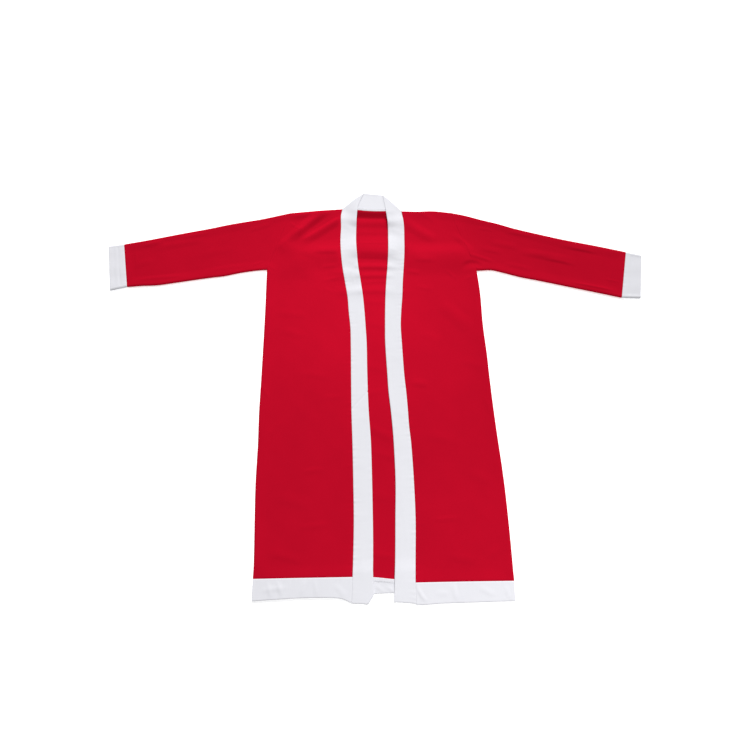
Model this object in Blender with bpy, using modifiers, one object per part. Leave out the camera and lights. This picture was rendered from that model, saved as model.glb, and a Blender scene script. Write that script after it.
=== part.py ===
"""Santa robe laid flat, face up, with its sleeves spread.

An open-front robe of thin red cloth, edged all round with white strips folded
double. The back lies on the floor, both fronts lie on the back, and each sleeve
and cuff is a flattened tube. Metres, +Z up, +Y towards the collar. Right and
left are the wearer's, so the right half is on the -X side.

Widths and lengths are measured on the floor from a point below the chest, and
the whole robe is then set so that its box is centred on the origin.
"""
import math
from collections import namedtuple

import bmesh
import bpy

# Cloth
RED_WALL = 0.0015
STRIP_WALL = 0.0030
SEAM_GAP = 0.0003

# The middle of the robe's box, from the point that widths and lengths start at
CENTRE_X = 0.0081
CENTRE_Y = 0.0111

# Heights of the upper layer's outer face over the floor
EDGE_TOP = 0.0033
ROLL_TOP = 0.0062
FLAT_TOP = 0.0045
ROLL_REACH = 0.0050
SETTLE_REACH = 0.0320

# Middle heights of the white strips over the floor
STRIP_MIDDLE = 0.0033
STRIP_OVER_HEM = 0.0048
CUFF_HEIGHT = 0.0069
CUFF_FLAT = 0.0066

# Reach of the blends between a panel and the strip sewn to it
BAND_BLEND = 0.030
HEM_BLEND = 0.034
CUFF_BLEND = 0.026
HUMP_SPREAD = 0.055
FOLD_BLEND = 0.024

# Part of a ridge's length over which it dies away at each end
RIDGE_END = 0.35

# Neck strip: it lifts the back along the neck seam, sinks a little past it and turns under at two creases
NECK_LIFT = 0.0100
NECK_RAMP = 0.0180
NECK_BEND = 0.0030
NECK_SHELF = 0.0042
BAND_RAMP = 0.055
NECK_LEVEL = 0.045
NECK_SIDE = 0.050
COLLAR_DROP = 0.30
COLLAR_REACH = 0.060
TURN_RADIUS = 0.0019
TURN_STEPS = 6
TURN_SHARE = 0.008
NECK_DIP = 0.0098
NECK_CLIMB = 0.030

# The bands' rows slant from here up, to lie along the creases beside the neck
FAN_START = 0.525
FAN_STEPS = 10
CREASE_GAP = 0.0005

# Bottom steps of the bands over the back's hem strip
STEP_TOP_Y = -0.490
STEP_BOTTOM_Y = -0.527

# The plain skirt, where every piece has the same rows, and the fold zone above it
SKIRT_START = -0.460
FOLD_START = 0.235
FOLD_MARGIN = 0.0010
MARGIN_BLEND = 0.030

# Rows within these reaches of the shoulders slant to lie along them
BACK_SLANT_REACH = 0.18
FRONT_SLANT_REACH = 0.15

# Grid spacing of the panels and bands, close along their edges
FRONT_WIDTH = 0.235
EDGE_STEPS = (0.0, 0.0024, 0.0050, 0.0095, 0.0170, 0.0300)
BAND_SIDE_STEPS = (0.0, 0.008)
FRONT_HEM_STEPS = (0.0, 0.006, 0.014, 0.024, 0.036)
BACK_HEM_STEPS = (0.0, 0.020)
BACK_TOP_STEPS = (0.0, 0.0015, 0.0060)
BAND_END_STEPS = (0.0, 0.020, 0.045, 0.070, 0.100)
BAND_TOP_STEPS = (0.0, 0.010)
ACROSS_STEP = 0.020
SKIRT_STEP = 0.060
FOLD_STEP = 0.0115
BACK_STEP = 0.0090
BACK_COLUMNS = (0.0, 0.09, 0.19, 0.28, 0.345, 0.372, 0.40, 0.45, 0.50, 0.55, 0.60, 0.628, 0.655, 0.72, 0.81,
                0.91, 1.0)
BAND_COLUMNS = (0.0, 0.25, 0.50, 0.72, 1.0)
NECK_COLUMNS = (0.0, 0.25, 0.50, 0.75, 1.0)
NECK_STEPS = 16

# Grid spacing of the flattened tubes
TUBE_FOLD_STEPS = 4
TUBE_INSETS = (0.009, 0.017, 0.032)
TUBE_MIDDLE_STEPS = 3
TUBE_UNDERSIDE = (0.75, 0.50, 0.25)
SLEEVE_STEP = 0.040
SLEEVE_START_STEP = 0.018
SLEEVE_END_STEPS = (0.024, 0.010, 0.0)
CUFF_SHARES = (0.0, 0.5, 1.0)

RED = (0.56, 0.005, 0.020, 1.0)
WHITE = (0.80, 0.81, 0.84, 1.0)

Side = namedtuple("Side", "y x")
Top = namedtuple("Top", "x y")
Corner = namedtuple("Corner", "x y")
Ridge = namedtuple("Ridge", "x0 y0 x1 y1 bow upper lower height")
Hump = namedtuple("Hump", "y slant upper lower height")
Half = namedtuple(
    "Half",
    "name sign side shoulder sleeve_top sleeve_under armpit tip cuff_seam cuff_end "
    "band_outer band_inner band_end hem_top hem_bottom turn_seam turn_free humps sleeve_folds front_folds",
)

RIGHT = Half(
    name="right",
    sign=-1,
    side=[Side(-0.581, -0.3225), Side(-0.500, -0.3218), Side(-0.300, -0.3266), Side(-0.190, -0.3252),
          Side(-0.100, -0.3260), Side(0.000, -0.3242), Side(0.200, -0.3218), Side(0.351, -0.322)],
    shoulder=[Top(-0.255, 0.5565), Top(-0.200, 0.5608), Top(-0.150, 0.5643), Top(-0.0905, 0.5660)],
    sleeve_top=[Top(-0.7695, 0.4557), Top(-0.700, 0.468), Top(-0.600, 0.488), Top(-0.500, 0.507),
                Top(-0.450, 0.518), Top(-0.400, 0.527), Top(-0.350, 0.535), Top(-0.300, 0.546),
                Top(-0.255, 0.5565)],
    sleeve_under=[Top(-0.7410, 0.3045), Top(-0.700, 0.307), Top(-0.650, 0.308), Top(-0.600, 0.3145),
                  Top(-0.500, 0.328), Top(-0.450, 0.3335), Top(-0.400, 0.3435), Top(-0.350, 0.350),
                  Top(-0.322, 0.351)],
    armpit=Corner(-0.322, 0.351),
    tip=Corner(-0.255, 0.5565),
    cuff_seam=(Corner(-0.7410, 0.3040), Corner(-0.7695, 0.4560)),
    cuff_end=(Corner(-0.7910, 0.2935), Corner(-0.8168, 0.4500)),
    band_outer=[Side(-0.594, -0.0765), Side(-0.500, -0.0715), Side(-0.400, -0.0680), Side(-0.300, -0.0677),
                Side(-0.200, -0.0682), Side(-0.100, -0.0697), Side(0.000, -0.0692), Side(0.100, -0.0686),
                Side(0.150, -0.0690), Side(0.200, -0.0730), Side(0.250, -0.0760), Side(0.300, -0.0830),
                Side(0.350, -0.0900), Side(0.400, -0.0942), Side(0.450, -0.0958), Side(0.500, -0.0935),
                Side(0.540, -0.0935), Side(0.5675, -0.0890)],
    band_inner=[Side(-0.597, -0.0205), Side(-0.530, -0.0218), Side(-0.500, -0.0208), Side(-0.400, -0.0187),
                Side(-0.200, -0.0180), Side(-0.100, -0.0220), Side(0.000, -0.0231), Side(0.100, -0.0226),
                Side(0.150, -0.0243), Side(0.200, -0.0265), Side(0.250, -0.0298), Side(0.300, -0.0353),
                Side(0.350, -0.0417), Side(0.400, -0.0453), Side(0.450, -0.0470), Side(0.500, -0.0452),
                Side(0.550, -0.0415), Side(0.580, -0.0350), Side(0.6219, -0.0185)],
    band_end=[Top(0.0, -0.594), Top(0.25, -0.5950), Top(0.50, -0.5955), Top(0.72, -0.5965), Top(1.0, -0.576)],
    hem_top=[Top(-0.321, -0.5305), Top(-0.200, -0.5317), Top(-0.075, -0.5333)],
    hem_bottom=[Top(-0.321, -0.5818), Top(-0.270, -0.5800), Top(-0.200, -0.5782), Top(-0.140, -0.579),
                Top(-0.110, -0.581), Top(-0.093, -0.5845), Top(-0.077, -0.592)],
    turn_seam=Corner(-0.0890, 0.5675),
    turn_free=Corner(-0.0185, 0.6219),
    humps=[Hump(0.545, 0.020, 0.036, 0.062, 0.0042), Hump(0.395, 0.000, 0.090, 0.085, 0.0036),
           Hump(0.300, 0.004, 0.026, 0.030, 0.0012), Hump(0.272, -0.006, 0.016, 0.020, 0.0008)],
    sleeve_folds=[Ridge(-0.500, 0.470, -0.700, 0.436, 0.000, 0.016, 0.020, 0.0012)],
    front_folds=[Ridge(-0.130, 0.571, -0.284, 0.434, 0.003, 0.019, 0.023, 0.0070),
                 Ridge(-0.215, 0.520, -0.300, 0.425, 0.003, 0.026, 0.050, 0.0028),
                 Ridge(-0.088, 0.553, -0.205, 0.440, 0.002, 0.011, 0.018, 0.0042),
                 Ridge(-0.300, 0.400, -0.060, 0.408, 0.002, 0.050, 0.070, 0.0050),
                 Ridge(-0.310, 0.352, -0.160, 0.346, 0.006, 0.060, 0.048, 0.0020),
                 Ridge(-0.190, 0.410, -0.088, 0.405, 0.001, 0.024, 0.013, 0.0015)],
)

LEFT = Half(
    name="left",
    sign=1,
    side=[Side(-0.603, 0.3270), Side(-0.500, 0.3310), Side(-0.350, 0.3325), Side(-0.270, 0.331),
          Side(-0.190, 0.3277), Side(-0.100, 0.3250), Side(0.000, 0.3235), Side(0.050, 0.3235),
          Side(0.150, 0.3210), Side(0.250, 0.3230), Side(0.329, 0.320)],
    shoulder=[Top(0.1008, 0.5525), Top(0.150, 0.5505), Top(0.200, 0.5505), Top(0.255, 0.5425)],
    sleeve_top=[Top(0.255, 0.5425), Top(0.300, 0.5305), Top(0.350, 0.513), Top(0.400, 0.497),
                Top(0.450, 0.478), Top(0.500, 0.462), Top(0.600, 0.432), Top(0.700, 0.406),
                Top(0.787, 0.3817)],
    sleeve_under=[Top(0.320, 0.329), Top(0.365, 0.3295), Top(0.400, 0.3195), Top(0.450, 0.303),
                  Top(0.500, 0.2905), Top(0.600, 0.2635), Top(0.700, 0.2365), Top(0.7445, 0.2240)],
    armpit=Corner(0.320, 0.329),
    tip=Corner(0.255, 0.5425),
    cuff_seam=(Corner(0.7445, 0.2235), Corner(0.7870, 0.3818)),
    cuff_end=(Corner(0.8010, 0.2198), Corner(0.8330, 0.3690)),
    band_outer=[Side(-0.6005, 0.0820), Side(-0.550, 0.0832), Side(-0.500, 0.0860), Side(-0.400, 0.0917),
                Side(-0.300, 0.0927), Side(-0.200, 0.0909), Side(-0.150, 0.0877), Side(-0.100, 0.0866),
                Side(-0.050, 0.0846), Side(0.000, 0.0816), Side(0.100, 0.0794), Side(0.150, 0.0787),
                Side(0.200, 0.0825), Side(0.250, 0.0880), Side(0.300, 0.0918), Side(0.350, 0.0970),
                Side(0.400, 0.1013), Side(0.450, 0.1035), Side(0.500, 0.1045), Side(0.553, 0.1000)],
    band_inner=[Side(-0.596, 0.0280), Side(-0.550, 0.0310), Side(-0.500, 0.0345), Side(-0.400, 0.0393),
                Side(-0.300, 0.0440), Side(-0.200, 0.0437), Side(-0.150, 0.0420), Side(-0.100, 0.0390),
                Side(-0.050, 0.0352), Side(0.000, 0.0337), Side(0.100, 0.0312), Side(0.150, 0.0325),
                Side(0.200, 0.0345), Side(0.250, 0.0373), Side(0.300, 0.0415), Side(0.350, 0.0470),
                Side(0.400, 0.0510), Side(0.450, 0.0530), Side(0.500, 0.0538), Side(0.550, 0.0493),
                Side(0.6132, 0.0410)],
    band_end=[Top(0.0, -0.5995), Top(0.25, -0.5975), Top(0.50, -0.5965), Top(0.72, -0.595),
              Top(1.0, -0.5945)],
    hem_top=[Top(0.085, -0.5508), Top(0.200, -0.5520), Top(0.326, -0.5540)],
    hem_bottom=[Top(0.082, -0.6015), Top(0.100, -0.6025), Top(0.145, -0.6007), Top(0.200, -0.6004),
                Top(0.326, -0.6002)],
    turn_seam=Corner(0.1000, 0.553),
    turn_free=Corner(0.0410, 0.6132),
    humps=[Hump(0.520, 0.010, 0.070, 0.050, 0.0042), Hump(0.425, 0.000, 0.050, 0.030, 0.0012),
           Hump(0.362, 0.000, 0.030, 0.030, 0.0008)],
    sleeve_folds=[Ridge(0.440, 0.394, 0.640, 0.346, 0.004, 0.022, 0.018, 0.0018),
                  Ridge(0.570, 0.414, 0.720, 0.384, 0.003, 0.014, 0.016, 0.0012),
                  Ridge(0.285, 0.392, 0.385, 0.352, 0.003, 0.010, 0.010, 0.0012)],
    front_folds=[Ridge(0.100, 0.517, 0.212, 0.435, -0.003, 0.024, 0.024, 0.0032),
                 Ridge(0.250, 0.470, 0.320, 0.380, 0.002, 0.016, 0.014, 0.0012),
                 Ridge(0.050, 0.389, 0.350, 0.384, 0.000, 0.052, 0.078, 0.0066),
                 Ridge(0.190, 0.235, 0.290, 0.130, 0.000, 0.030, 0.034, 0.0014)],
)

# Ridges that lift the back and all that lies on it
BACK_FOLDS = [
    Ridge(-0.092, 0.413, 0.110, 0.394, 0.005, 0.034, 0.035, 0.0054),
    Ridge(-0.088, 0.440, 0.106, 0.428, 0.004, 0.032, 0.030, 0.0036),
    Ridge(-0.170, 0.412, 0.200, 0.384, 0.010, 0.050, 0.050, 0.0014),
    Ridge(-0.078, 0.513, 0.090, 0.508, 0.003, 0.022, 0.022, 0.0022),
    Ridge(-0.075, 0.353, 0.086, 0.345, 0.005, 0.018, 0.014, 0.0024),
    Ridge(-0.070, 0.321, 0.080, 0.316, 0.004, 0.015, 0.013, 0.0016),
    Ridge(-0.062, 0.270, 0.076, 0.266, 0.003, 0.022, 0.016, 0.0013),
]

BACK_HEM_TOP = [Top(-0.321, -0.5305), Top(-0.080, -0.5338), Top(-0.020, -0.5357), Top(0.030, -0.5415),
                Top(0.090, -0.5455), Top(0.326, -0.5545)]
BACK_HEM_BOTTOM = [Top(-0.321, -0.5800), Top(-0.270, -0.5780), Top(-0.200, -0.5772), Top(-0.050, -0.5745),
                   Top(0.000, -0.5735), Top(0.050, -0.5735), Top(0.200, -0.590), Top(0.326, -0.599)]


# Interpolation

def mix(low, high, share):
    return low + (high - low) * share


def smooth(share):
    share = min(1.0, max(0.0, share))
    return share * share * (3.0 - 2.0 * share)


def bell(share):
    """1 at 0 and 0 at -1 and +1, with a soft top and soft feet."""
    if abs(share) >= 1.0:
        return 0.0
    return 0.5 + 0.5 * math.cos(math.pi * share)


def through(rows, at):
    """The smooth curve through rows of (place, value), read at one place."""
    last = len(rows) - 1
    at = min(rows[last][0], max(rows[0][0], at))
    index = max(i for i in range(last) if rows[i][0] <= at)
    (t1, v1), (t2, v2) = rows[index], rows[index + 1]
    t0, v0 = rows[index - 1] if index > 0 else (2.0 * t1 - t2, 2.0 * v1 - v2)
    t3, v3 = rows[index + 2] if index + 1 < last else (2.0 * t2 - t1, 2.0 * v2 - v1)
    start_slope = (v2 - v0) / (t2 - t0)
    end_slope = (v3 - v1) / (t3 - t1)
    length = t2 - t1
    s = (at - t1) / length
    return (v1 * (2 * s ** 3 - 3 * s ** 2 + 1) + v2 * (3 * s ** 2 - 2 * s ** 3)
            + length * start_slope * (s ** 3 - 2 * s ** 2 + s) + length * end_slope * (s ** 3 - s ** 2))


def on_side(half, y):
    """The half's outer seam at height y: the side seam, then the armhole above the armpit."""
    if y <= half.armpit.y:
        return through([(row.y, row.x) for row in half.side], y)
    return mix(half.armpit.x, half.tip.x, (y - half.armpit.y) / (half.tip.y - half.armpit.y))


def neck_seam(x):
    """The back neck seam, a nearly straight line that dips a little in the middle."""
    share = (x - RIGHT.turn_seam.x) / (LEFT.turn_seam.x - RIGHT.turn_seam.x)
    straight = mix(RIGHT.turn_seam.y, LEFT.turn_seam.y, share)
    return straight - NECK_DIP * max(0.0, 1.0 - (2.0 * share - 1.0) ** 2)


def back_top(x):
    """The back's upper edge: both shoulders and the neck between them."""
    if x <= RIGHT.turn_seam.x:
        return through(RIGHT.shoulder, x)
    if x >= LEFT.turn_seam.x:
        return through(LEFT.shoulder, x)
    return neck_seam(x) - SEAM_GAP


# Folds

def ridge_height(ridge, x, y):
    """Height of one soft ridge that runs from its first end to its second and dies away at both."""
    run_x = ridge.x1 - ridge.x0
    run_y = ridge.y1 - ridge.y0
    length = math.hypot(run_x, run_y)
    run_x /= length
    run_y /= length
    along = ((x - ridge.x0) * run_x + (y - ridge.y0) * run_y) / length
    ends = smooth(min(along, 1.0 - along) / RIDGE_END)
    across = (y - ridge.y0) * run_x - (x - ridge.x0) * run_y
    if run_x < 0.0:
        across = -across
    across -= ridge.bow * 4.0 * along * (1.0 - along)
    width = ridge.upper if across > 0.0 else ridge.lower
    return ridge.height * bell(across / width) * ends


def folds_height(x, y):
    return sum(ridge_height(ridge, x, y) for ridge in BACK_FOLDS)


def eased(past):
    """0 below 0 and rising evenly above it, with a soft bend between."""
    bend = min(2.0 * NECK_BEND, max(0.0, past + NECK_BEND))
    return bend ** 2 / (4.0 * NECK_BEND) + max(0.0, past - NECK_BEND)


def neck_lift(x, y, ramp):
    """Lift along the neck seam: steep below it, less towards the strip's free edge and its creases."""
    middle = (RIGHT.turn_seam.x + LEFT.turn_seam.x) / 2.0
    across = 1.0 - smooth((abs(x - middle) - NECK_LEVEL) / NECK_SIDE)
    past = y - neck_seam(x)
    rise = (eased(past + NECK_SHELF + ramp) - eased(past + NECK_SHELF)) / ramp
    drop = COLLAR_DROP * min(1.0, max(0.0, past / COLLAR_REACH))
    return NECK_LIFT * across * rise * (1.0 - drop)


def back_lift(x, y):
    return folds_height(x, y) + neck_lift(x, y, NECK_RAMP)


def hump_height(half, x, y):
    """The band's own cross folds, slanted over its width."""
    outer = band_outer(half, y)
    inner = band_inner(half, y)
    across = min(1.0, max(0.0, (x - outer) / (inner - outer)))
    total = 0.0
    for hump in half.humps:
        past = y - hump.y + hump.slant * (across - 0.5)
        width = hump.upper if past > 0.0 else hump.lower
        total += hump.height * bell(past / width)
    return total


def band_outer(half, y):
    return through([(row.y, row.x) for row in half.band_outer], y)


def band_inner(half, y):
    return through([(row.y, row.x) for row in half.band_inner], y)


def band_middle(half, x, y):
    """Middle height of a front band: on the back, over its hem below, over the neck strip above."""
    over_hem = smooth((STEP_TOP_Y - y) / (STEP_TOP_Y - STEP_BOTTOM_Y))
    over_neck = smooth((y - neck_seam(x)) / NECK_CLIMB + 1.0)
    zone = smooth((y - FOLD_START) / MARGIN_BLEND) * (1.0 - over_neck)
    climb = STRIP_WALL / 2.0 + 2.0 * TURN_RADIUS - STRIP_MIDDLE
    height = mix(STRIP_MIDDLE, STRIP_OVER_HEM, over_hem) + climb * over_neck + FOLD_MARGIN * zone
    lifted = folds_height(x, y) + hump_height(half, x, y)
    return height + neck_lift(x, y, BAND_RAMP) + lifted * (1.0 - over_neck)


# The upper layer

def outline(half):
    """The half's outer edge as a run of points: shoulder, sleeve top, cuff, underarm, side."""
    points = [(row.x, row.y) for row in half.shoulder]
    points.sort(key=lambda point: abs(point[0]))
    top = [(row.x, row.y) for row in half.sleeve_top]
    top.sort(key=lambda point: abs(point[0]))
    under = [(row.x, row.y) for row in half.sleeve_under]
    under.sort(key=lambda point: -abs(point[0]))
    side = [(row.x, row.y) for row in reversed(half.side)]
    return [points + top[1:], under + side[1:]]


def edge_distance(runs, x, y):
    best = 1.0
    for run in runs:
        for (x0, y0), (x1, y1) in zip(run, run[1:]):
            run_x = x1 - x0
            run_y = y1 - y0
            share = ((x - x0) * run_x + (y - y0) * run_y) / (run_x ** 2 + run_y ** 2)
            share = min(1.0, max(0.0, share))
            best = min(best, math.hypot(x - x0 - run_x * share, y - y0 - run_y * share))
    return best


def roll_height(distance):
    """The outer face rises into a soft roll along the outline, then settles on the lower layer."""
    rise = (ROLL_TOP - EDGE_TOP) * smooth(distance / ROLL_REACH)
    sink = (ROLL_TOP - FLAT_TOP) * smooth((distance - ROLL_REACH) / SETTLE_REACH)
    return EDGE_TOP + rise - sink


def front_top(half, runs, x, y):
    """Outer face of a front panel, level with its band and its hem strip along their seams."""
    from_band = abs(x - band_outer(half, y))
    height = roll_height(edge_distance(runs, x, y))
    folds = sum(ridge_height(ridge, x, y) for ridge in half.front_folds)
    height += folds * smooth(from_band / FOLD_BLEND)
    near_band = 1.0 - smooth(from_band / BAND_BLEND)
    folded = smooth((y - FOLD_START) / MARGIN_BLEND) * (1.0 - smooth(from_band / HUMP_SPREAD))
    height += folded * FOLD_MARGIN
    below_neck = 1.0 - smooth((y - neck_seam(x)) / NECK_CLIMB + 1.0)
    height += hump_height(half, x, min(y, FAN_START)) * (1.0 - smooth(from_band / HUMP_SPREAD)) * below_neck
    shoulder = smooth((through(half.shoulder, x) - y) / ROLL_REACH)
    level = STRIP_MIDDLE + RED_WALL / 2.0 - FLAT_TOP
    height += level * near_band * shoulder
    near_hem = 1.0 - smooth((y - through(half.hem_top, x)) / HEM_BLEND)
    height = mix(height, STRIP_OVER_HEM + RED_WALL / 2.0, near_hem)
    return height + back_lift(x, y)


def sleeve_face(half, distance, from_cuff, x, y):
    height = roll_height(distance)
    height += sum(ridge_height(ridge, x, y) for ridge in half.sleeve_folds + half.front_folds)
    level = CUFF_FLAT - (STRIP_WALL - RED_WALL) / 2.0
    return mix(height, level, 1.0 - smooth(from_cuff / CUFF_BLEND))


# Mesh makers

def new_object(name, mesh_cage, colour, collection, anchor):
    mesh = bpy.data.meshes.new(name)
    mesh_cage.to_mesh(mesh)
    mesh_cage.free()
    mesh.shade_smooth()
    piece = bpy.data.objects.new(name, mesh)
    collection.objects.link(piece)
    piece.parent = anchor
    mesh.materials.append(cloth_material(name, colour))
    return piece


def add_wall(piece, wall, offset):
    shell = piece.modifiers.new("cloth wall", "SOLIDIFY")
    shell.thickness = wall
    shell.offset = offset


def cloth_material(name, colour):
    material = bpy.data.materials.new(name)
    material.use_nodes = True
    shader = material.node_tree.nodes["Principled BSDF"]
    shader.inputs["Base Color"].default_value = colour
    shader.inputs["Roughness"].default_value = 0.9
    shader.inputs["Metallic"].default_value = 0.0
    return material


def grid_cage(columns, rows, place):
    """A grid whose vertex at column i and row j stands at place(columns[i], rows[j])."""
    cage = bmesh.new()
    bmesh.ops.create_grid(cage, x_segments=len(columns) - 1, y_segments=len(rows) - 1, size=0.5)
    for vert in cage.verts:
        i = round((vert.co.x + 0.5) * (len(columns) - 1))
        j = round((vert.co.y + 0.5) * (len(rows) - 1))
        vert.co = place(columns[i], rows[j])
    return cage


def spaced(low, high, step):
    count = max(1, round((high - low) / step))
    return [mix(low, high, i / count) for i in range(count + 1)]


def skirt_rows(low, high, near_low, near_high, fold_step, corner=None):
    """Row heights of a panel: close along its ends and in the fold zone, wide on the skirt."""
    rows = [low + step for step in near_low]
    rows += spaced(SKIRT_START, FOLD_START, SKIRT_STEP)
    folds = spaced(FOLD_START, high - near_high[-1], fold_step)[1:]
    if corner is not None:
        nearest = min(folds, key=lambda row: abs(row - corner))
        folds[folds.index(nearest)] = corner
    rows += folds
    rows += [high - step for step in reversed(near_high)][1:]
    return rows


def spread_columns(width, near_outer, near_inner):
    """Shares of a width: close at its outer edge, then even, and close again at its inner edge."""
    shares = [step / width for step in near_outer]
    middle = spaced(near_outer[-1], width - near_inner[-1], ACROSS_STEP)[1:]
    shares += [step / width for step in middle]
    shares += [1.0 - step / width for step in reversed(near_inner)][1:]
    return shares


def front_columns(half):
    columns = spread_columns(FRONT_WIDTH, EDGE_STEPS, BAND_SIDE_STEPS)
    if half.sign > 0:
        columns = [1.0 - share for share in reversed(columns)]
    return columns


def back_bounds(y):
    return on_side(RIGHT, y), on_side(LEFT, y)


def front_bounds(half, y):
    """Both edges of a front at height y, the one with the lower x first."""
    return tuple(sorted((on_side(half, y), band_outer(half, y) + half.sign * SEAM_GAP)))


# Pieces

def make_back(collection, anchor):
    low = BACK_HEM_TOP[0].y
    high = RIGHT.tip.y
    rows = skirt_rows(low, high, BACK_HEM_STEPS, BACK_TOP_STEPS, BACK_STEP)

    def place(share, row):
        x = mix(*back_bounds(row), share)
        near_hem = max(0.0, (SKIRT_START - row) / (SKIRT_START - low))
        near_top = max(0.0, 1.0 - (high - row) / BACK_SLANT_REACH)
        y = row + (through(BACK_HEM_TOP, x) + SEAM_GAP - low) * near_hem + (back_top(x) - high) * near_top
        x = mix(*back_bounds(y), share)
        return x, y, RED_WALL + back_lift(x, y)

    cage = grid_cage(BACK_COLUMNS, rows, place)
    add_wall(new_object("back", cage, RED, collection, anchor), RED_WALL, -1.0)


def make_front(half, collection, anchor):
    runs = outline(half)
    low = half.hem_top[0].y
    high = half.tip.y
    rows = skirt_rows(low, high, FRONT_HEM_STEPS, EDGE_STEPS[:-1], FOLD_STEP, half.armpit.y)

    def place(share, row):
        x = mix(*front_bounds(half, row), share)
        near_hem = max(0.0, (SKIRT_START - row) / (SKIRT_START - low))
        near_top = max(0.0, 1.0 - (high - row) / FRONT_SLANT_REACH)
        y = row + (through(half.hem_top, x) + SEAM_GAP - low) * near_hem
        y += (through(half.shoulder, x) - high) * near_top
        x = mix(*front_bounds(half, y), share)
        return x, y, front_top(half, runs, x, y)

    cage = grid_cage(front_columns(half), rows, place)
    add_wall(new_object("front_" + half.name, cage, RED, collection, anchor), RED_WALL, -1.0)


def tube_ring(under, top, height, wall, face):
    """A flattened ring: round at both folds, flat on the floor, its outer face at face(distance, x, y).

    wall is 0 for the outer face, and the wall's thickness for the inner one.
    """
    width = math.hypot(top[0] - under[0], top[1] - under[1])
    radius = height / 2.0
    turns = [math.pi * (i / TUBE_FOLD_STEPS - 0.5) for i in range(TUBE_FOLD_STEPS + 1)]
    fold = [(radius - (radius - wall) * math.cos(turn), radius + (radius - wall) * math.sin(turn))
            for turn in turns]
    ring = list(fold)
    near = list(TUBE_INSETS)
    far = [width - step for step in reversed(near)]
    middle = [mix(near[-1], far[0], i / TUBE_MIDDLE_STEPS) for i in range(1, TUBE_MIDDLE_STEPS)]
    for across in near + middle + far:
        x = mix(under[0], top[0], across / width)
        y = mix(under[1], top[1], across / width)
        ring.append((across, face(min(across, width - across), x, y) - wall))
    ring += [(width - across, rise) for across, rise in reversed(fold)]
    ring += [(width * share, wall) for share in TUBE_UNDERSIDE]
    return [(mix(under[0], top[0], across / width), mix(under[1], top[1], across / width), rise)
            for across, rise in ring]


def tube_cage(outer_rings, inner_rings):
    """A tube with a wall: along the outer face, back along the inner one, and closed both ways."""
    rings = outer_rings + inner_rings[::-1]
    around = len(rings[0])
    cage = grid_cage(range(around + 1), range(len(rings) + 1), lambda i, j: rings[j % len(rings)][i % around])
    bmesh.ops.remove_doubles(cage, verts=cage.verts, dist=0.00001)
    bmesh.ops.recalc_face_normals(cage, faces=cage.faces)
    return cage


def make_sleeve(half, collection, anchor):
    length = abs(half.cuff_seam[1].x - half.tip.x)
    steps = [0.0] + spaced(SLEEVE_START_STEP, length - SLEEVE_END_STEPS[0], SLEEVE_STEP)
    steps += [length - step for step in SLEEVE_END_STEPS[1:]]
    shares = [step / length for step in steps]
    start_under = half.armpit.x + half.sign * SEAM_GAP
    start_top = half.tip.x + half.sign * SEAM_GAP
    end_under = half.cuff_seam[0].x - half.sign * SEAM_GAP
    end_top = half.cuff_seam[1].x - half.sign * SEAM_GAP

    def ring(share, wall):
        under_x = mix(start_under, end_under, share)
        top_x = mix(start_top, end_top, share)
        under = (under_x, through(half.sleeve_under, under_x))
        top = (top_x, through(half.sleeve_top, top_x))
        from_cuff = (1.0 - share) * length
        return tube_ring(under, top, ROLL_TOP, wall,
                         lambda distance, x, y: sleeve_face(half, distance, from_cuff, x, y))

    cage = tube_cage([ring(share, 0.0) for share in shares], [ring(share, RED_WALL) for share in shares])
    new_object("sleeve_" + half.name, cage, RED, collection, anchor)


def make_cuff(half, collection, anchor):
    def ring(share, wall):
        under = [mix(a, b, share) for a, b in zip(half.cuff_seam[0], half.cuff_end[0])]
        top = [mix(a, b, share) for a, b in zip(half.cuff_seam[1], half.cuff_end[1])]
        return tube_ring(under, top, CUFF_HEIGHT, wall, lambda distance, x, y: CUFF_FLAT)

    cage = tube_cage([ring(share, 0.0) for share in CUFF_SHARES],
                     [ring(share, STRIP_WALL) for share in CUFF_SHARES])
    new_object("cuff_" + half.name, cage, WHITE, collection, anchor)


def make_band(half, collection, anchor):
    """A front band, from its free lower end to just short of the crease beside the neck."""
    low = half.band_end[0].y
    high = FAN_START
    rows = skirt_rows(low, high, BAND_END_STEPS, BAND_TOP_STEPS, FOLD_STEP)
    rows += [high + (i + 1) / FAN_STEPS for i in range(FAN_STEPS)]
    outer_end = half.turn_seam.y - TURN_SHARE - CREASE_GAP
    inner_end = half.turn_free.y - TURN_SHARE - CREASE_GAP

    def place(share, row):
        if row > high:
            opened = row - high
            outer_y = mix(high, outer_end, opened)
            inner_y = mix(high, inner_end, opened)
        else:
            outer_y = row
            inner_y = row
        near_end = max(0.0, (SKIRT_START - row) / (SKIRT_START - low))
        y = mix(outer_y, inner_y, share) + (through(half.band_end, share) - low) * near_end
        x = mix(band_outer(half, outer_y), band_inner(half, inner_y), share)
        return x, y, band_middle(half, x, y)

    cage = grid_cage(BAND_COLUMNS, rows, place)
    if half.sign > 0:
        bmesh.ops.reverse_faces(cage, faces=cage.faces)
    add_wall(new_object("band_" + half.name, cage, WHITE, collection, anchor), STRIP_WALL, 0.0)


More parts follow.
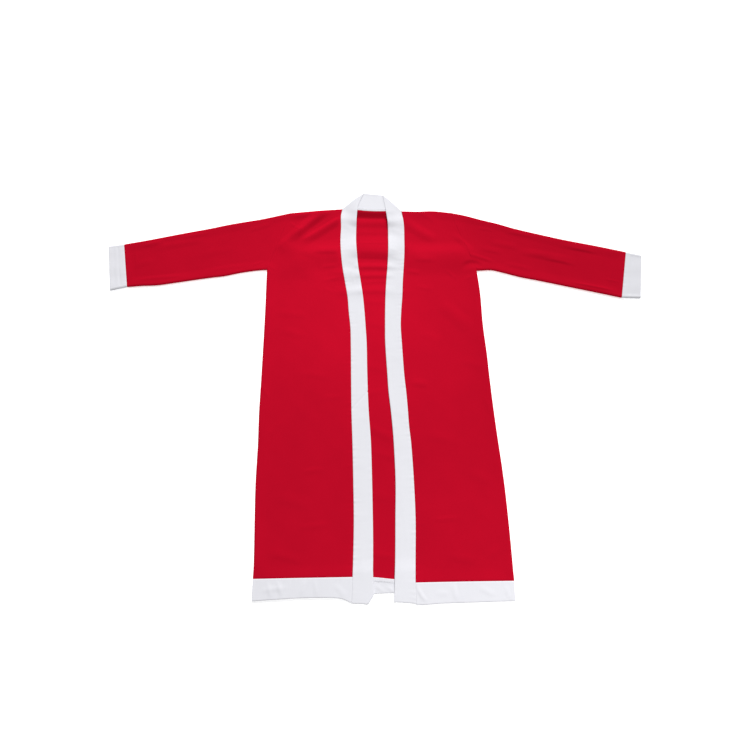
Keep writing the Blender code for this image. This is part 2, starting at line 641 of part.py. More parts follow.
def make_neck(collection, anchor):
    """The neck strip: under the crease on the right, behind the neck, and over the crease on the left."""
    stations = []

    def upper(half, back_off):
        seam = (band_outer(half, half.turn_seam.y - back_off), half.turn_seam.y - back_off)
        free = (band_inner(half, half.turn_free.y - back_off), half.turn_free.y - back_off)
        return lambda share: raised(half, mix(seam[0], free[0], share), mix(seam[1], free[1], share))

    def raised(half, x, y):
        return x, y, band_middle(half, x, y)

    def turn(half, angle):
        run_x = half.turn_free.x - half.turn_seam.x
        run_y = half.turn_free.y - half.turn_seam.y
        length = math.hypot(run_x, run_y)
        out_x = half.sign * abs(run_y) / length
        out_y = abs(run_x) / length
        reach = TURN_RADIUS * math.sin(angle)
        lift = TURN_RADIUS * (1.0 - math.cos(angle))

        def at(share):
            x = mix(half.turn_seam.x, half.turn_free.x, share)
            y = mix(half.turn_seam.y, half.turn_free.y, share)
            return x + out_x * reach, y + out_y * reach, STRIP_WALL / 2.0 + neck_lift(x, y, NECK_RAMP) + lift

        return at

    def lower(share_across_neck):
        seam_x = mix(RIGHT.turn_seam.x, LEFT.turn_seam.x, share_across_neck)
        free_x = mix(RIGHT.turn_free.x, LEFT.turn_free.x, share_across_neck)
        free_y = mix(RIGHT.turn_free.y, LEFT.turn_free.y, share_across_neck)
        seam_y = neck_seam(seam_x)

        def at(share):
            x = mix(seam_x, free_x, share)
            y = mix(seam_y, free_y, share)
            return x, y, STRIP_WALL / 2.0 + neck_lift(x, y, NECK_RAMP)

        return at

    stations += [upper(RIGHT, TURN_SHARE), upper(RIGHT, TURN_SHARE / 2.0)]
    stations += [turn(RIGHT, math.pi * (1.0 - i / TURN_STEPS)) for i in range(TURN_STEPS)]
    stations += [lower(i / NECK_STEPS) for i in range(NECK_STEPS + 1)]
    stations += [turn(LEFT, math.pi * (i + 1) / TURN_STEPS) for i in range(TURN_STEPS)]
    stations += [upper(LEFT, TURN_SHARE / 2.0), upper(LEFT, TURN_SHARE)]
    cage = grid_cage(range(len(stations)), NECK_COLUMNS, lambda i, share: stations[i](share))
    add_wall(new_object("band_neck", cage, WHITE, collection, anchor), STRIP_WALL, 0.0)


def make_hem(name, columns, bounds, low_line, high_line, middle, collection, anchor):
    """A hem strip between two lines, flat at one height, with the columns of the panel above it."""
    def place(share, up):
        x = mix(*bounds(high_line[0].y), share)
        y = mix(through(low_line, x), through(high_line, x), up)
        return mix(*bounds(y), share), y, middle

    cage = grid_cage(columns, [0.0, 0.5, 1.0], place)
    add_wall(new_object(name, cage, WHITE, collection, anchor), STRIP_WALL, 0.0)


def make_front_hem(half, collection, anchor):
    make_hem("hem_front_" + half.name, front_columns(half), lambda y: front_bounds(half, y),
             half.hem_bottom, half.hem_top, STRIP_OVER_HEM, collection, anchor)


def build():
    for old in list(bpy.data.objects):
        bpy.data.objects.remove(old, do_unlink=True)
    collection = bpy.data.collections.new("santa_robe")
    bpy.context.scene.collection.children.link(collection)
    anchor = bpy.data.objects.new("laid_flat", None)
    collection.objects.link(anchor)
    anchor.location = (-CENTRE_X, -CENTRE_Y, 0.0)
    make_back(collection, anchor)
    make_hem("hem_back", BACK_COLUMNS, back_bounds, BACK_HEM_BOTTOM, BACK_HEM_TOP,
             STRIP_WALL / 2.0, collection, anchor)
    make_neck(collection, anchor)
    for half in (RIGHT, LEFT):
        make_front(half, collection, anchor)
        make_sleeve(half, collection, anchor)
        make_cuff(half, collection, anchor)
        make_band(half, collection, anchor)
        make_front_hem(half, collection, anchor)


build()
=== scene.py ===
"""Looks of a santa robe that lies flat, face up, with its sleeves spread.

Every piece of the frame is shown by a finer cloth shell of the same form, with the
smaller creases, the seams and the sewing. Right and left are the wearer's, so the
right half is on the -X side, and +Y is towards the collar. Widths and lengths are
measured on the floor from a point below the chest, and every piece is then moved so
that the robe's box is centred on the origin, as in the frame.
"""

import math
from collections import namedtuple

import bpy
import numpy as np
from mathutils import Matrix, Vector
from mathutils.bvhtree import BVHTree


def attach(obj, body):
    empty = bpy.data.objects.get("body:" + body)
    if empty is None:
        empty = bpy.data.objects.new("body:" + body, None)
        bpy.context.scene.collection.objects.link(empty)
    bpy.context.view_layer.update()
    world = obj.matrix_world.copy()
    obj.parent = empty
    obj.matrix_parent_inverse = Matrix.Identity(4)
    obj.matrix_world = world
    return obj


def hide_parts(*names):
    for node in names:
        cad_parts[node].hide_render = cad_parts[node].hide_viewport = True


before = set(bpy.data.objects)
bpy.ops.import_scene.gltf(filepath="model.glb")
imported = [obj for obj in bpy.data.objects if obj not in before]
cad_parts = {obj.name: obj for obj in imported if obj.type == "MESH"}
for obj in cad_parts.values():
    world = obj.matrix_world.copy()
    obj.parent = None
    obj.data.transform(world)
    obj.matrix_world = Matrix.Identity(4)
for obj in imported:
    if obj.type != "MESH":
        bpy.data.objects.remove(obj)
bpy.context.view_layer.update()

# Cloth walls, and the widths of the folded strips and of the panels
RED_WALL = 0.0015
STRIP_WALL = 0.003
THIN_EDGE = 0.00005
SEAM_GAP = 0.0003
SEAM_LINE = 0.00004
BAND_WIDTH = 0.052
HEM_WIDTH = 0.051
CUFF_WIDTH = 0.049
BODY_WIDTH = 0.65
FRONT_WIDTH = 0.24

# The middle of the robe's box, from the point that widths and lengths start at
CENTRE_X = 0.0081
CENTRE_Y = 0.0111

# The robe's outline is a soft roll, which settles on the lower layer further in
ROLL_FOOT = 0.0018
ROLL_ROUND = 0.0048
ROLL_TOP = 0.0062
FLAT_TOP = 0.0045
ROLL_REACH = 0.005
SETTLE_REACH = 0.032
UNDER_ROUND = 0.0022
FOLD_DEPTH = 0.0075

# Middle heights of the strips over the floor, the full height of a cuff's folds, and its flat face
STRIP_MIDDLE = 0.0033
STRIP_OVER_HEM = 0.0048
CUFF_HEIGHT = 0.0069
CUFF_FLAT = 0.0066

# Reach of the blends between a panel and the strip sewn to it, and of a panel's folds and edges
BAND_BLEND = 0.03
HEM_BLEND = 0.034
CUFF_BLEND = 0.026
HUMP_SPREAD = 0.055
FOLD_BLEND = 0.014
EDGE_BLEND = 0.01

# Neck strip: it lifts the back along the neck seam, sinks a little past it and turns at two creases
NECK_LIFT = 0.01
NECK_RAMP = 0.018
NECK_BEND = 0.003
NECK_SHELF = 0.0042
BAND_RAMP = 0.055
NECK_LEVEL = 0.045
NECK_SIDE = 0.05
COLLAR_DROP = 0.3
COLLAR_REACH = 0.06
TURN_RADIUS = 0.001
NECK_PRESS = 0.6
NECK_MIDDLE = STRIP_WALL / 2.0 * NECK_PRESS
TURN_SLIP = 0.0026
NECK_DIP = 0.0098
NECK_CLIMB = 0.045
FAN_START = 0.525

# Part of a ridge's length over which it dies away at each end
RIDGE_END = 0.35

# The bands step up over the back's hem strip, and lie a little higher over the folds of the chest
STEP_TOP_Y = -0.49
STEP_BOTTOM_Y = -0.527
FOLD_START = 0.235
FOLD_MARGIN = 0.001
MARGIN_BLEND = 0.03

# Where the mesh rows start to slant, towards the hem and towards the shoulders
SKIRT_START = -0.46
BACK_SLANT_REACH = 0.18
FRONT_SLANT_REACH = 0.15

# Seams: a narrow valley with small puckers on both sides of it. A pucker wave is (share, length, turn).
SEAM_DIP = 0.0007
SEAM_REACH = 0.004
SEAM_THINNING = 0.6
ARMHOLE_SHARE = 0.1
PUCKER = 0.00022
PUCKER_START = 0.002
PUCKER_REACH = 0.009
PUCKER_WAVES = [(1.0, 0.0117, 1.3), (0.8, 0.0173, 2.9), (0.7, 0.0291, 0.7)]
PUCKER_SWELL = 0.131
PUCKER_UNEVEN = 0.4

# White strips: half wall at the seam, reach of its filling, roundness at the fold, a hem strip's blunt end
SEAM_EDGE = 0.00115
STRIP_FILL = 0.0022
STRIP_ROUND = 0.0021
HEM_END = 0.0004

# Folded edges: height and pace of their puckers, beside those along a seam
BAND_FOLD_SHARE = 0.5
BAND_FOLD_PACE = 0.6
HEM_FOLD_SHARE = 0.6
HEM_FOLD_PACE = 0.55

# The long strip's relief fades where it turns over at the neck. A trough also shows from below.
LEVEL_START = 0.3
LEVEL_SPAN = 0.4
TROUGH_SHARE = 0.5

# Numbers of the seams and edges, which set their puckers apart. Each half adds its own sign, and a
# hem strip its height times HEM_APART.
HEM_APART = 1000.0
BAND_SEAM = 1.0
HEM_SEAM = 3.0
ARMHOLE_SEAM = 6.0
CUFF_SEAM = 9.0
CUFF_STRIP = 12.0
BAND_STRIP_SEAM = 15.0
BAND_STRIP_FOLD = 17.0
HEM_STRIP_SEAM = 19.0
HEM_STRIP_FOLD = 23.0

# Faint broad waves of cloth that was smoothed out by hand: (share, turns along x, turns along y, start).
# A shift along y gives the back and the strips waves of their own.
WAVE_HEIGHT = 0.00022
STRIP_WAVE_SHARE = 0.5
BACK_SHIFT = 0.7
BAND_SHIFT = -0.4
HEM_SHIFT = 0.2
WAVES = [(0.45, 41.0, 23.0, 0.4), (0.35, -29.0, 52.0, 1.9), (0.3, 67.0, 11.0, 4.1),
         (0.25, -83.0, -71.0, 2.7)]

# Reach over which creases and waves fade out beside an outline, a band, a hem strip or a cuff
EDGE_QUIET = 0.006
BAND_QUIET = 0.012
HEM_QUIET = 0.03
CUFF_QUIET = 0.012
BACK_HEM_QUIET = 0.02

# Cuffs: two uneven creases round the wrist (place, reach, depth), and a soft wave
CUFF_CREASES = [(0.019, 0.006, 0.0006), (0.034, 0.008, 0.0003)]
CREASE_UNEVEN = 0.3
CREASE_TURNS = 60.0
CUFF_WAVE = 0.0003
CUFF_WAVE_TURNS = 95.0
CUFF_WAVE_SPAN = 2.2

# Sewing on the inside, which shows in the opening: flaps of the seams, with stitches and edging loops
NECK_FLAP = 0.008
HEM_FLAP = 0.0105
FLAP_RISE = 0.0005
FLAP_STEP = 0.0016
OPENING_BLEND = 0.004
ROBE_CLEAR = 0.1
THREAD_RADIUS = 0.00024
THREAD_SINK = 0.0001
STITCH_STEP = 0.003
STITCH_DIP = 0.00034
LOOP_STEP = 0.0027
LOOP_WIDTH = 0.0034
SEAM_STITCH = 0.0014
SEWING_INSET = OPENING_BLEND / 4.0

# Mesh spacing and steps. The back is coarser outside the opening's shares, where the fronts hide it.
# The strip's middle column gives the place along it.
STEP = 0.0032
BACK_STEP = STEP * 1.1
BAND_STEP = 0.0027
HEM_STEP = 0.0026
TUBE_STEP = 0.0034
HIDDEN_STEP = 0.009
OPENING_SHARES = (0.36, 0.66)
OUTLINE_STEP = 0.008
TURN_STEPS = 13
FAN_STEPS = 26
NECK_STEPS = 64
FLOOR_STEPS = 26
MIDDLE_COLUMN = 12
LOOP_STEPS = 8
FACE_STEPS = (0.0, 0.0016, 0.0034, 0.0055)
ROUND_STEPS = (0.0, 0.00006, 0.0003, 0.0008, 0.0015, 0.0024, 0.0035, 0.0048, 0.0066, 0.009)
SEAM_STEPS = (0.0, 0.0009, 0.002, 0.0034, 0.0052, 0.0075)
STRIP_STEPS = (0.0, 0.00004, 0.0002, 0.0005, 0.001, 0.0016, 0.0023, 0.0036)

# A ridge runs between two ends, with a reach on its upper (+Y) and lower side, a height and a bow
# towards +Y. A hump crosses a band at y, slanted over the band's width. A half is all of one side.
Corner = namedtuple("Corner", "x y")
Ridge = namedtuple("Ridge", "x0 y0 x1 y1 upper lower height bow", defaults=[0.0])
Hump = namedtuple("Hump", "y slant upper lower height")
Half = namedtuple(
    "Half",
    "name sign side shoulder sleeve_top sleeve_under armpit tip cuff_seam cuff_end "
    "band_outer band_inner band_end hem_top hem_bottom turn_seam turn_free humps sleeve_folds front_folds",
)

# Both halves. A point of side, band_outer and band_inner is (y, x), one of band_end is (share of the
# width, y), and every other line's points are (x, y). Folds and creases are rows of Ridge.
RIGHT = Half(
    name="right",
    sign=-1,
    side=[(-0.581, -0.3225), (-0.5, -0.3218), (-0.3, -0.3266), (-0.19, -0.3252), (-0.1, -0.326),
          (0.0, -0.3242), (0.2, -0.3218), (0.351, -0.322)],
    shoulder=[(-0.255, 0.5565), (-0.2, 0.5608), (-0.15, 0.5643), (-0.0905, 0.566)],
    sleeve_top=[(-0.7695, 0.4557), (-0.7, 0.468), (-0.6, 0.488), (-0.5, 0.507), (-0.45, 0.518), (-0.4, 0.527),
                (-0.35, 0.535), (-0.3, 0.546), (-0.255, 0.5565)],
    sleeve_under=[(-0.741, 0.3045), (-0.7, 0.307), (-0.65, 0.308), (-0.6, 0.3145), (-0.5, 0.328),
                  (-0.45, 0.3335), (-0.4, 0.3435), (-0.35, 0.35), (-0.322, 0.351)],
    armpit=Corner(-0.322, 0.351),
    tip=Corner(-0.255, 0.5565),
    cuff_seam=(Corner(-0.741, 0.304), Corner(-0.7695, 0.456)),
    cuff_end=(Corner(-0.791, 0.2935), Corner(-0.8168, 0.45)),
    band_outer=[(-0.594, -0.0765), (-0.5, -0.0715), (-0.4, -0.068), (-0.3, -0.0677), (-0.2, -0.0682),
                (-0.1, -0.0697), (0.0, -0.0692), (0.1, -0.0686), (0.15, -0.069), (0.2, -0.073),
                (0.25, -0.076), (0.3, -0.083), (0.35, -0.09), (0.4, -0.0942), (0.45, -0.0958), (0.5, -0.0935),
                (0.54, -0.0935), (0.5675, -0.089)],
    band_inner=[(-0.597, -0.0205), (-0.53, -0.0218), (-0.5, -0.0208), (-0.4, -0.0187), (-0.2, -0.018),
                (-0.1, -0.022), (0.0, -0.0231), (0.1, -0.0226), (0.15, -0.0243), (0.2, -0.0265),
                (0.25, -0.0298), (0.3, -0.0353), (0.35, -0.0417), (0.4, -0.0453), (0.45, -0.047),
                (0.5, -0.0452), (0.55, -0.0415), (0.58, -0.035), (0.6219, -0.0185)],
    band_end=[(0.0, -0.594), (0.25, -0.595), (0.5, -0.5955), (0.72, -0.5965), (1.0, -0.576)],
    hem_top=[(-0.321, -0.5305), (-0.2, -0.5317), (-0.075, -0.5333)],
    hem_bottom=[(-0.321, -0.5818), (-0.27, -0.58), (-0.2, -0.5782), (-0.14, -0.579), (-0.11, -0.581),
                (-0.093, -0.5845), (-0.077, -0.592)],
    turn_seam=Corner(-0.089, 0.5675),
    turn_free=Corner(-0.0185, 0.6219),
    humps=[(0.53, 0.014, 0.06, 0.046, 0.0022), (0.395, 0.0, 0.09, 0.085, 0.0032),
           (0.329, 0.004, 0.026, 0.036, 0.0022), (0.27, 0.0, 0.022, 0.018, 0.001)],
    sleeve_folds=[(-0.5, 0.47, -0.7, 0.436, 0.016, 0.02, 0.0012)],
    front_folds=[(-0.122, 0.57, -0.258, 0.446, 0.026, 0.022, 0.0076, 0.008),
                 (-0.19, 0.508, -0.298, 0.414, 0.022, 0.07, 0.004, 0.004),
                 (-0.066, 0.545, -0.226, 0.436, 0.014, 0.024, 0.0054, 0.005),
                 (-0.264, 0.54, -0.13, 0.563, 0.012, 0.02, 0.0026),
                 (-0.3, 0.4, -0.06, 0.408, 0.05, 0.07, 0.005, 0.002),
                 (-0.31, 0.352, -0.16, 0.346, 0.06, 0.048, 0.002, 0.006),
                 (-0.19, 0.41, -0.088, 0.405, 0.024, 0.013, 0.0015, 0.001)],
)

LEFT = Half(
    name="left",
    sign=1,
    side=[(-0.603, 0.327), (-0.5, 0.331), (-0.35, 0.3325), (-0.27, 0.331), (-0.19, 0.3277), (-0.1, 0.325),
          (0.0, 0.3235), (0.05, 0.3235), (0.15, 0.321), (0.25, 0.323), (0.329, 0.32)],
    shoulder=[(0.1008, 0.5525), (0.15, 0.5505), (0.2, 0.5505), (0.255, 0.5425)],
    sleeve_top=[(0.255, 0.5425), (0.3, 0.5305), (0.35, 0.513), (0.4, 0.497), (0.45, 0.478), (0.5, 0.462),
                (0.6, 0.432), (0.7, 0.406), (0.787, 0.3817)],
    sleeve_under=[(0.32, 0.329), (0.365, 0.3295), (0.4, 0.3195), (0.45, 0.303), (0.5, 0.2905), (0.6, 0.2635),
                  (0.7, 0.2365), (0.7445, 0.224)],
    armpit=Corner(0.32, 0.329),
    tip=Corner(0.255, 0.5425),
    cuff_seam=(Corner(0.7445, 0.2235), Corner(0.787, 0.3818)),
    cuff_end=(Corner(0.801, 0.2198), Corner(0.833, 0.369)),
    band_outer=[(-0.6005, 0.082), (-0.55, 0.0832), (-0.5, 0.086), (-0.4, 0.0917), (-0.3, 0.0927),
                (-0.2, 0.0909), (-0.15, 0.0877), (-0.1, 0.0866), (-0.05, 0.0846), (0.0, 0.0816),
                (0.1, 0.0794), (0.15, 0.0787), (0.2, 0.0825), (0.25, 0.088), (0.3, 0.0918), (0.35, 0.097),
                (0.4, 0.1013), (0.45, 0.1035), (0.5, 0.1045), (0.553, 0.1)],
    band_inner=[(-0.596, 0.028), (-0.55, 0.031), (-0.5, 0.0345), (-0.4, 0.0393), (-0.3, 0.044),
                (-0.2, 0.0437), (-0.15, 0.042), (-0.1, 0.039), (-0.05, 0.0352), (0.0, 0.0337), (0.1, 0.0312),
                (0.15, 0.0325), (0.2, 0.0345), (0.25, 0.0373), (0.3, 0.0415), (0.35, 0.047), (0.4, 0.051),
                (0.45, 0.053), (0.5, 0.0538), (0.55, 0.0493), (0.6132, 0.041)],
    band_end=[(0.0, -0.5995), (0.25, -0.5975), (0.5, -0.5965), (0.72, -0.595), (1.0, -0.5945)],
    hem_top=[(0.085, -0.5508), (0.2, -0.552), (0.326, -0.554)],
    hem_bottom=[(0.082, -0.6015), (0.1, -0.6025), (0.145, -0.6007), (0.2, -0.6004), (0.326, -0.6002)],
    turn_seam=Corner(0.1, 0.553),
    turn_free=Corner(0.041, 0.6132),
    humps=[(0.518, 0.01, 0.06, 0.044, 0.0024), (0.425, 0.0, 0.05, 0.03, 0.0012),
           (0.362, 0.0, 0.03, 0.03, 0.0008)],
    sleeve_folds=[(0.44, 0.394, 0.64, 0.346, 0.022, 0.018, 0.0018, 0.004),
                  (0.57, 0.414, 0.72, 0.384, 0.014, 0.016, 0.0012, 0.003),
                  (0.285, 0.392, 0.385, 0.352, 0.01, 0.01, 0.0012, 0.003)],
    front_folds=[(0.1, 0.517, 0.212, 0.435, 0.026, 0.026, 0.0026, -0.003),
                 (0.25, 0.47, 0.32, 0.38, 0.016, 0.014, 0.0012, 0.002),
                 (0.05, 0.389, 0.35, 0.384, 0.052, 0.078, 0.0066),
                 (0.19, 0.235, 0.29, 0.13, 0.03, 0.034, 0.0014)],
)

# Ridges that lift the back and all that lies on it
BACK_FOLDS = [
    (-0.092, 0.413, 0.11, 0.394, 0.034, 0.035, 0.0051, 0.005),
    (-0.088, 0.44, 0.106, 0.428, 0.034, 0.03, 0.0032, 0.004),
    (-0.17, 0.412, 0.2, 0.384, 0.05, 0.05, 0.0014, 0.01),
    (-0.078, 0.513, 0.09, 0.508, 0.022, 0.022, 0.0022, 0.003),
    (-0.075, 0.353, 0.086, 0.345, 0.018, 0.014, 0.0024, 0.005),
    (-0.07, 0.321, 0.08, 0.316, 0.015, 0.013, 0.0016, 0.004),
    (-0.062, 0.27, 0.076, 0.266, 0.022, 0.016, 0.0013, 0.003),
]

# The back's hem seam and its lower edge
BACK_HEM_TOP = [(-0.321, -0.5305), (-0.08, -0.5338), (-0.02, -0.5357), (0.03, -0.5415), (0.09, -0.5455),
                (0.326, -0.5545)]
BACK_HEM_BOTTOM = [(-0.321, -0.58), (-0.27, -0.578), (-0.2, -0.5772), (-0.05, -0.5745), (0.0, -0.5735),
                   (0.05, -0.5735), (0.2, -0.59), (0.326, -0.599)]

# Smaller creases, too fine for the solids: ridges, and troughs where the height is below zero
BACK_CREASES = [
    (-0.1, 0.438, 0.12, 0.431, 0.007, 0.005, 0.0006, 0.002),
    (-0.085, 0.476, 0.1, 0.47, 0.02, 0.014, 0.0005, 0.002),
    (-0.08, 0.384, 0.09, 0.372, 0.006, 0.005, -0.0005, 0.002),
    (-0.05, 0.296, 0.07, 0.304, 0.009, 0.008, 0.0004, 0.002),
    (-0.06, 0.236, 0.06, 0.226, 0.014, 0.012, 0.0004, 0.002),
    (-0.05, 0.172, 0.055, 0.146, 0.02, 0.016, 0.0005),
    (-0.045, 0.04, 0.055, 0.004, 0.022, 0.02, 0.0005),
    (-0.05, -0.062, 0.04, -0.04, 0.014, 0.016, 0.0004),
    (-0.05, -0.136, 0.07, -0.198, 0.018, 0.02, 0.0008),
    (-0.03, -0.214, 0.075, -0.25, 0.02, 0.016, 0.0006, 0.002),
    (-0.045, -0.33, 0.065, -0.352, 0.024, 0.02, 0.0004, 0.002),
    (-0.04, -0.478, 0.05, -0.494, 0.012, 0.014, 0.0005, 0.002),
]
CREASES = {
    "right": [
        # front
        (-0.16, 0.355, -0.1, 0.358, 0.013, 0.01, 0.0007, 0.001),
        (-0.236, 0.414, -0.15, 0.386, 0.022, 0.02, 0.0007, 0.003),
        (-0.325, 0.376, -0.29, 0.342, 0.005, 0.005, 0.0005),
        (-0.322, 0.36, -0.298, 0.33, 0.004, 0.005, 0.0004),
        (-0.282, 0.446, -0.266, 0.41, 0.006, 0.006, 0.0004),
        (-0.262, 0.524, -0.214, 0.48, 0.007, 0.006, 0.0007, 0.002),
        (-0.16, 0.305, -0.092, 0.318, 0.01, 0.012, 0.0007, 0.002),
        (-0.145, 0.285, -0.118, 0.262, 0.008, 0.008, 0.0004),
        (-0.3, 0.205, -0.18, 0.186, 0.02, 0.018, 0.0005, 0.004),
        (-0.28, 0.15, -0.19, 0.118, 0.02, 0.02, 0.0006, 0.003),
        (-0.328, -0.008, -0.296, -0.068, 0.006, 0.008, 0.0007, 0.001),
        (-0.23, 0.012, -0.12, -0.006, 0.018, 0.016, 0.0004, 0.003),
        (-0.16, -0.064, -0.085, -0.06, 0.012, 0.018, 0.0004, 0.001),
        (-0.218, -0.11, -0.21, -0.04, 0.012, 0.012, 0.0003),
        (-0.3, -0.176, -0.256, -0.12, 0.016, 0.016, 0.0004, 0.002),
        (-0.208, -0.268, -0.138, -0.262, 0.01, 0.014, 0.0005, 0.001),
        (-0.29, -0.33, -0.16, -0.366, 0.026, 0.022, 0.0005, 0.004),
        (-0.22, -0.412, -0.12, -0.404, 0.01, 0.014, 0.0004, 0.002),
        (-0.29, -0.47, -0.19, -0.5, 0.02, 0.014, 0.0006, 0.003),
        # sleeve
        (-0.3, 0.52, -0.4, 0.486, 0.014, 0.012, 0.0009, 0.002),
        (-0.5, 0.488, -0.6, 0.466, 0.012, 0.012, 0.0008, 0.003),
        (-0.64, 0.462, -0.72, 0.444, 0.01, 0.012, 0.0009, 0.001),
        (-0.36, 0.372, -0.52, 0.348, 0.012, 0.014, 0.0007, 0.003),
        (-0.56, 0.338, -0.73, 0.326, 0.01, 0.01, 0.0008, 0.002),
        (-0.66, 0.396, -0.742, 0.372, 0.02, 0.018, 0.0006, 0.002),
        (-0.42, 0.43, -0.54, 0.404, 0.022, 0.022, 0.0005, 0.003),
        (-0.73, 0.44, -0.722, 0.38, 0.006, 0.006, 0.0005),
        (-0.734, 0.366, -0.726, 0.32, 0.005, 0.006, 0.0004),
        (-0.33, 0.38, -0.372, 0.366, 0.007, 0.006, 0.0006, 0.001),
    ],
    "left": [
        # front
        (0.122, 0.372, 0.206, 0.366, 0.02, 0.014, 0.0009, 0.002),
        (0.098, 0.334, 0.152, 0.324, 0.012, 0.012, 0.0008, 0.001),
        (0.222, 0.336, 0.258, 0.3, 0.009, 0.007, 0.0006),
        (0.276, 0.3, 0.32, 0.312, 0.012, 0.008, 0.0005),
        (0.27, 0.458, 0.306, 0.408, 0.008, 0.007, 0.0006),
        (0.268, 0.338, 0.344, 0.34, 0.013, 0.022, -0.002, 0.016),
        (0.33, 0.408, 0.41, 0.386, 0.02, 0.012, 0.0008, 0.002),
        (0.14, 0.556, 0.214, 0.5, 0.016, 0.012, 0.0007, 0.002),
        (0.12, 0.282, 0.19, 0.264, 0.014, 0.012, 0.0004, 0.002),
        (0.096, -0.026, 0.154, -0.036, 0.018, 0.016, 0.0009, 0.002),
        (0.24, 0.04, 0.32, 0.006, 0.024, 0.02, 0.0005, 0.003),
        (0.13, 0.13, 0.21, 0.092, 0.02, 0.02, 0.0004, 0.002),
        (0.3, -0.06, 0.326, -0.15, 0.01, 0.012, 0.0005),
        (0.12, -0.176, 0.23, -0.204, 0.024, 0.02, 0.0005, 0.003),
        (0.23, -0.28, 0.31, -0.316, 0.02, 0.018, 0.0004, 0.002),
        (0.13, -0.402, 0.21, -0.398, 0.008, 0.012, 0.0005, 0.001),
        (0.15, -0.49, 0.25, -0.506, 0.018, 0.016, 0.0005, 0.002),
        (0.262, -0.5, 0.318, -0.47, 0.016, 0.014, 0.0004, 0.002),
        # sleeve
        (0.52, 0.368, 0.63, 0.338, 0.01, 0.009, 0.001, 0.002),
        (0.6, 0.404, 0.706, 0.376, 0.009, 0.008, 0.001, 0.002),
        (0.59, 0.282, 0.74, 0.244, 0.008, 0.005, 0.0012, 0.001),
        (0.42, 0.466, 0.52, 0.44, 0.01, 0.01, 0.0008, 0.002),
        (0.36, 0.43, 0.47, 0.4, 0.018, 0.016, 0.0008, 0.003),
        (0.4, 0.352, 0.5, 0.322, 0.014, 0.012, 0.0007, 0.002),
        (0.716, 0.262, 0.73, 0.32, 0.005, 0.005, 0.0006),
        (0.728, 0.3, 0.742, 0.352, 0.005, 0.004, 0.0005),
        (0.7, 0.29, 0.752, 0.276, 0.006, 0.006, 0.0005),
        (0.33, 0.484, 0.392, 0.468, 0.01, 0.009, 0.0006, 0.001),
        (0.64, 0.42, 0.76, 0.386, 0.007, 0.008, 0.0008, 0.001),
    ],
}
STRIP_CREASES = [
    # right band
    (-0.08, 0.372, -0.042, 0.364, 0.011, 0.008, 0.0003),
    (-0.078, 0.326, -0.074, 0.28, 0.006, 0.006, 0.0002),
    (-0.06, 0.33, -0.054, 0.284, 0.006, 0.007, 0.0003),
    (-0.046, 0.318, -0.04, 0.274, 0.006, 0.006, 0.0002),
    (-0.09, 0.418, -0.056, 0.406, 0.012, 0.009, 0.0003),
    (-0.092, 0.512, -0.05, 0.476, 0.016, 0.013, 0.0004),
    (-0.046, 0.23, -0.042, 0.07, 0.011, 0.011, 0.0002),
    (-0.06, -0.12, -0.022, -0.128, 0.013, 0.016, 0.0002),
    (-0.068, -0.244, -0.03, -0.262, 0.019, 0.016, 0.0002),
    (-0.066, -0.392, -0.024, -0.384, 0.016, 0.016, 0.0002),
    (-0.05, -0.44, -0.046, -0.56, 0.009, 0.009, 0.0002),
    # left band
    (0.054, 0.488, 0.104, 0.468, 0.016, 0.013, 0.0005),
    (0.052, 0.41, 0.082, 0.404, 0.011, 0.008, 0.0004),
    (0.06, 0.382, 0.1, 0.374, 0.011, 0.009, 0.0003),
    (0.056, 0.35, 0.094, 0.342, 0.009, 0.008, 0.0003),
    (0.05, 0.262, 0.054, 0.12, 0.009, 0.012, 0.0002),
    (0.04, 0.06, 0.078, 0.046, 0.016, 0.016, 0.0002),
    (0.046, -0.11, 0.084, -0.122, 0.019, 0.016, 0.0002),
    (0.056, -0.25, 0.09, -0.236, 0.013, 0.016, 0.0002),
    (0.062, -0.33, 0.066, -0.48, 0.011, 0.009, 0.0002),
]
HEM_CREASES = {
    "right": [
        (-0.284, -0.536, -0.276, -0.578, 0.007, 0.006, 0.0007),
        (-0.26, -0.534, -0.25, -0.574, 0.009, 0.007, 0.0008),
        (-0.186, -0.532, -0.2, -0.578, 0.008, 0.006, 0.0009, 0.002),
        (-0.168, -0.534, -0.162, -0.578, 0.007, 0.008, 0.0006),
        (-0.305, -0.56, -0.23, -0.554, 0.01, 0.01, 0.0005, 0.002),
        (-0.12, -0.548, -0.09, -0.584, 0.012, 0.01, 0.0005, 0.002),
    ],
    "left": [
        (0.086, -0.556, 0.112, -0.598, 0.007, 0.007, 0.001, -0.004),
        (0.176, -0.554, 0.182, -0.598, 0.01, 0.01, 0.0008),
        (0.234, -0.566, 0.282, -0.59, 0.012, 0.01, 0.0005, 0.002),
        (0.306, -0.56, 0.314, -0.6, 0.008, 0.008, 0.0007),
        (0.13, -0.576, 0.166, -0.58, 0.01, 0.01, 0.0004, 0.001),
    ],
    "back": [
        (-0.02, -0.552, 0.006, -0.572, 0.007, 0.006, 0.0005),
        (0.01, -0.556, 0.034, -0.574, 0.006, 0.007, 0.0005),
        (-0.28, -0.544, -0.12, -0.556, 0.014, 0.012, 0.0004, 0.002),
        (0.12, -0.566, 0.29, -0.578, 0.014, 0.012, 0.0004, 0.002),
    ],
}

# The diagonal join in the right band, and the small notch at its inner end
JOIN_INNER = Corner(-0.0205, -0.0465)
JOIN_OUTER = Corner(-0.072, -0.1)
JOIN_DIP = 0.0006
JOIN_REACH = 0.0028
NOTCH_DEPTH = 0.0014
NOTCH_REACH = 0.004
NOTCH_STEEP = 4.0

# The point that the camera looks at
AIM_X = -0.0013
AIM_Y = 0.0018

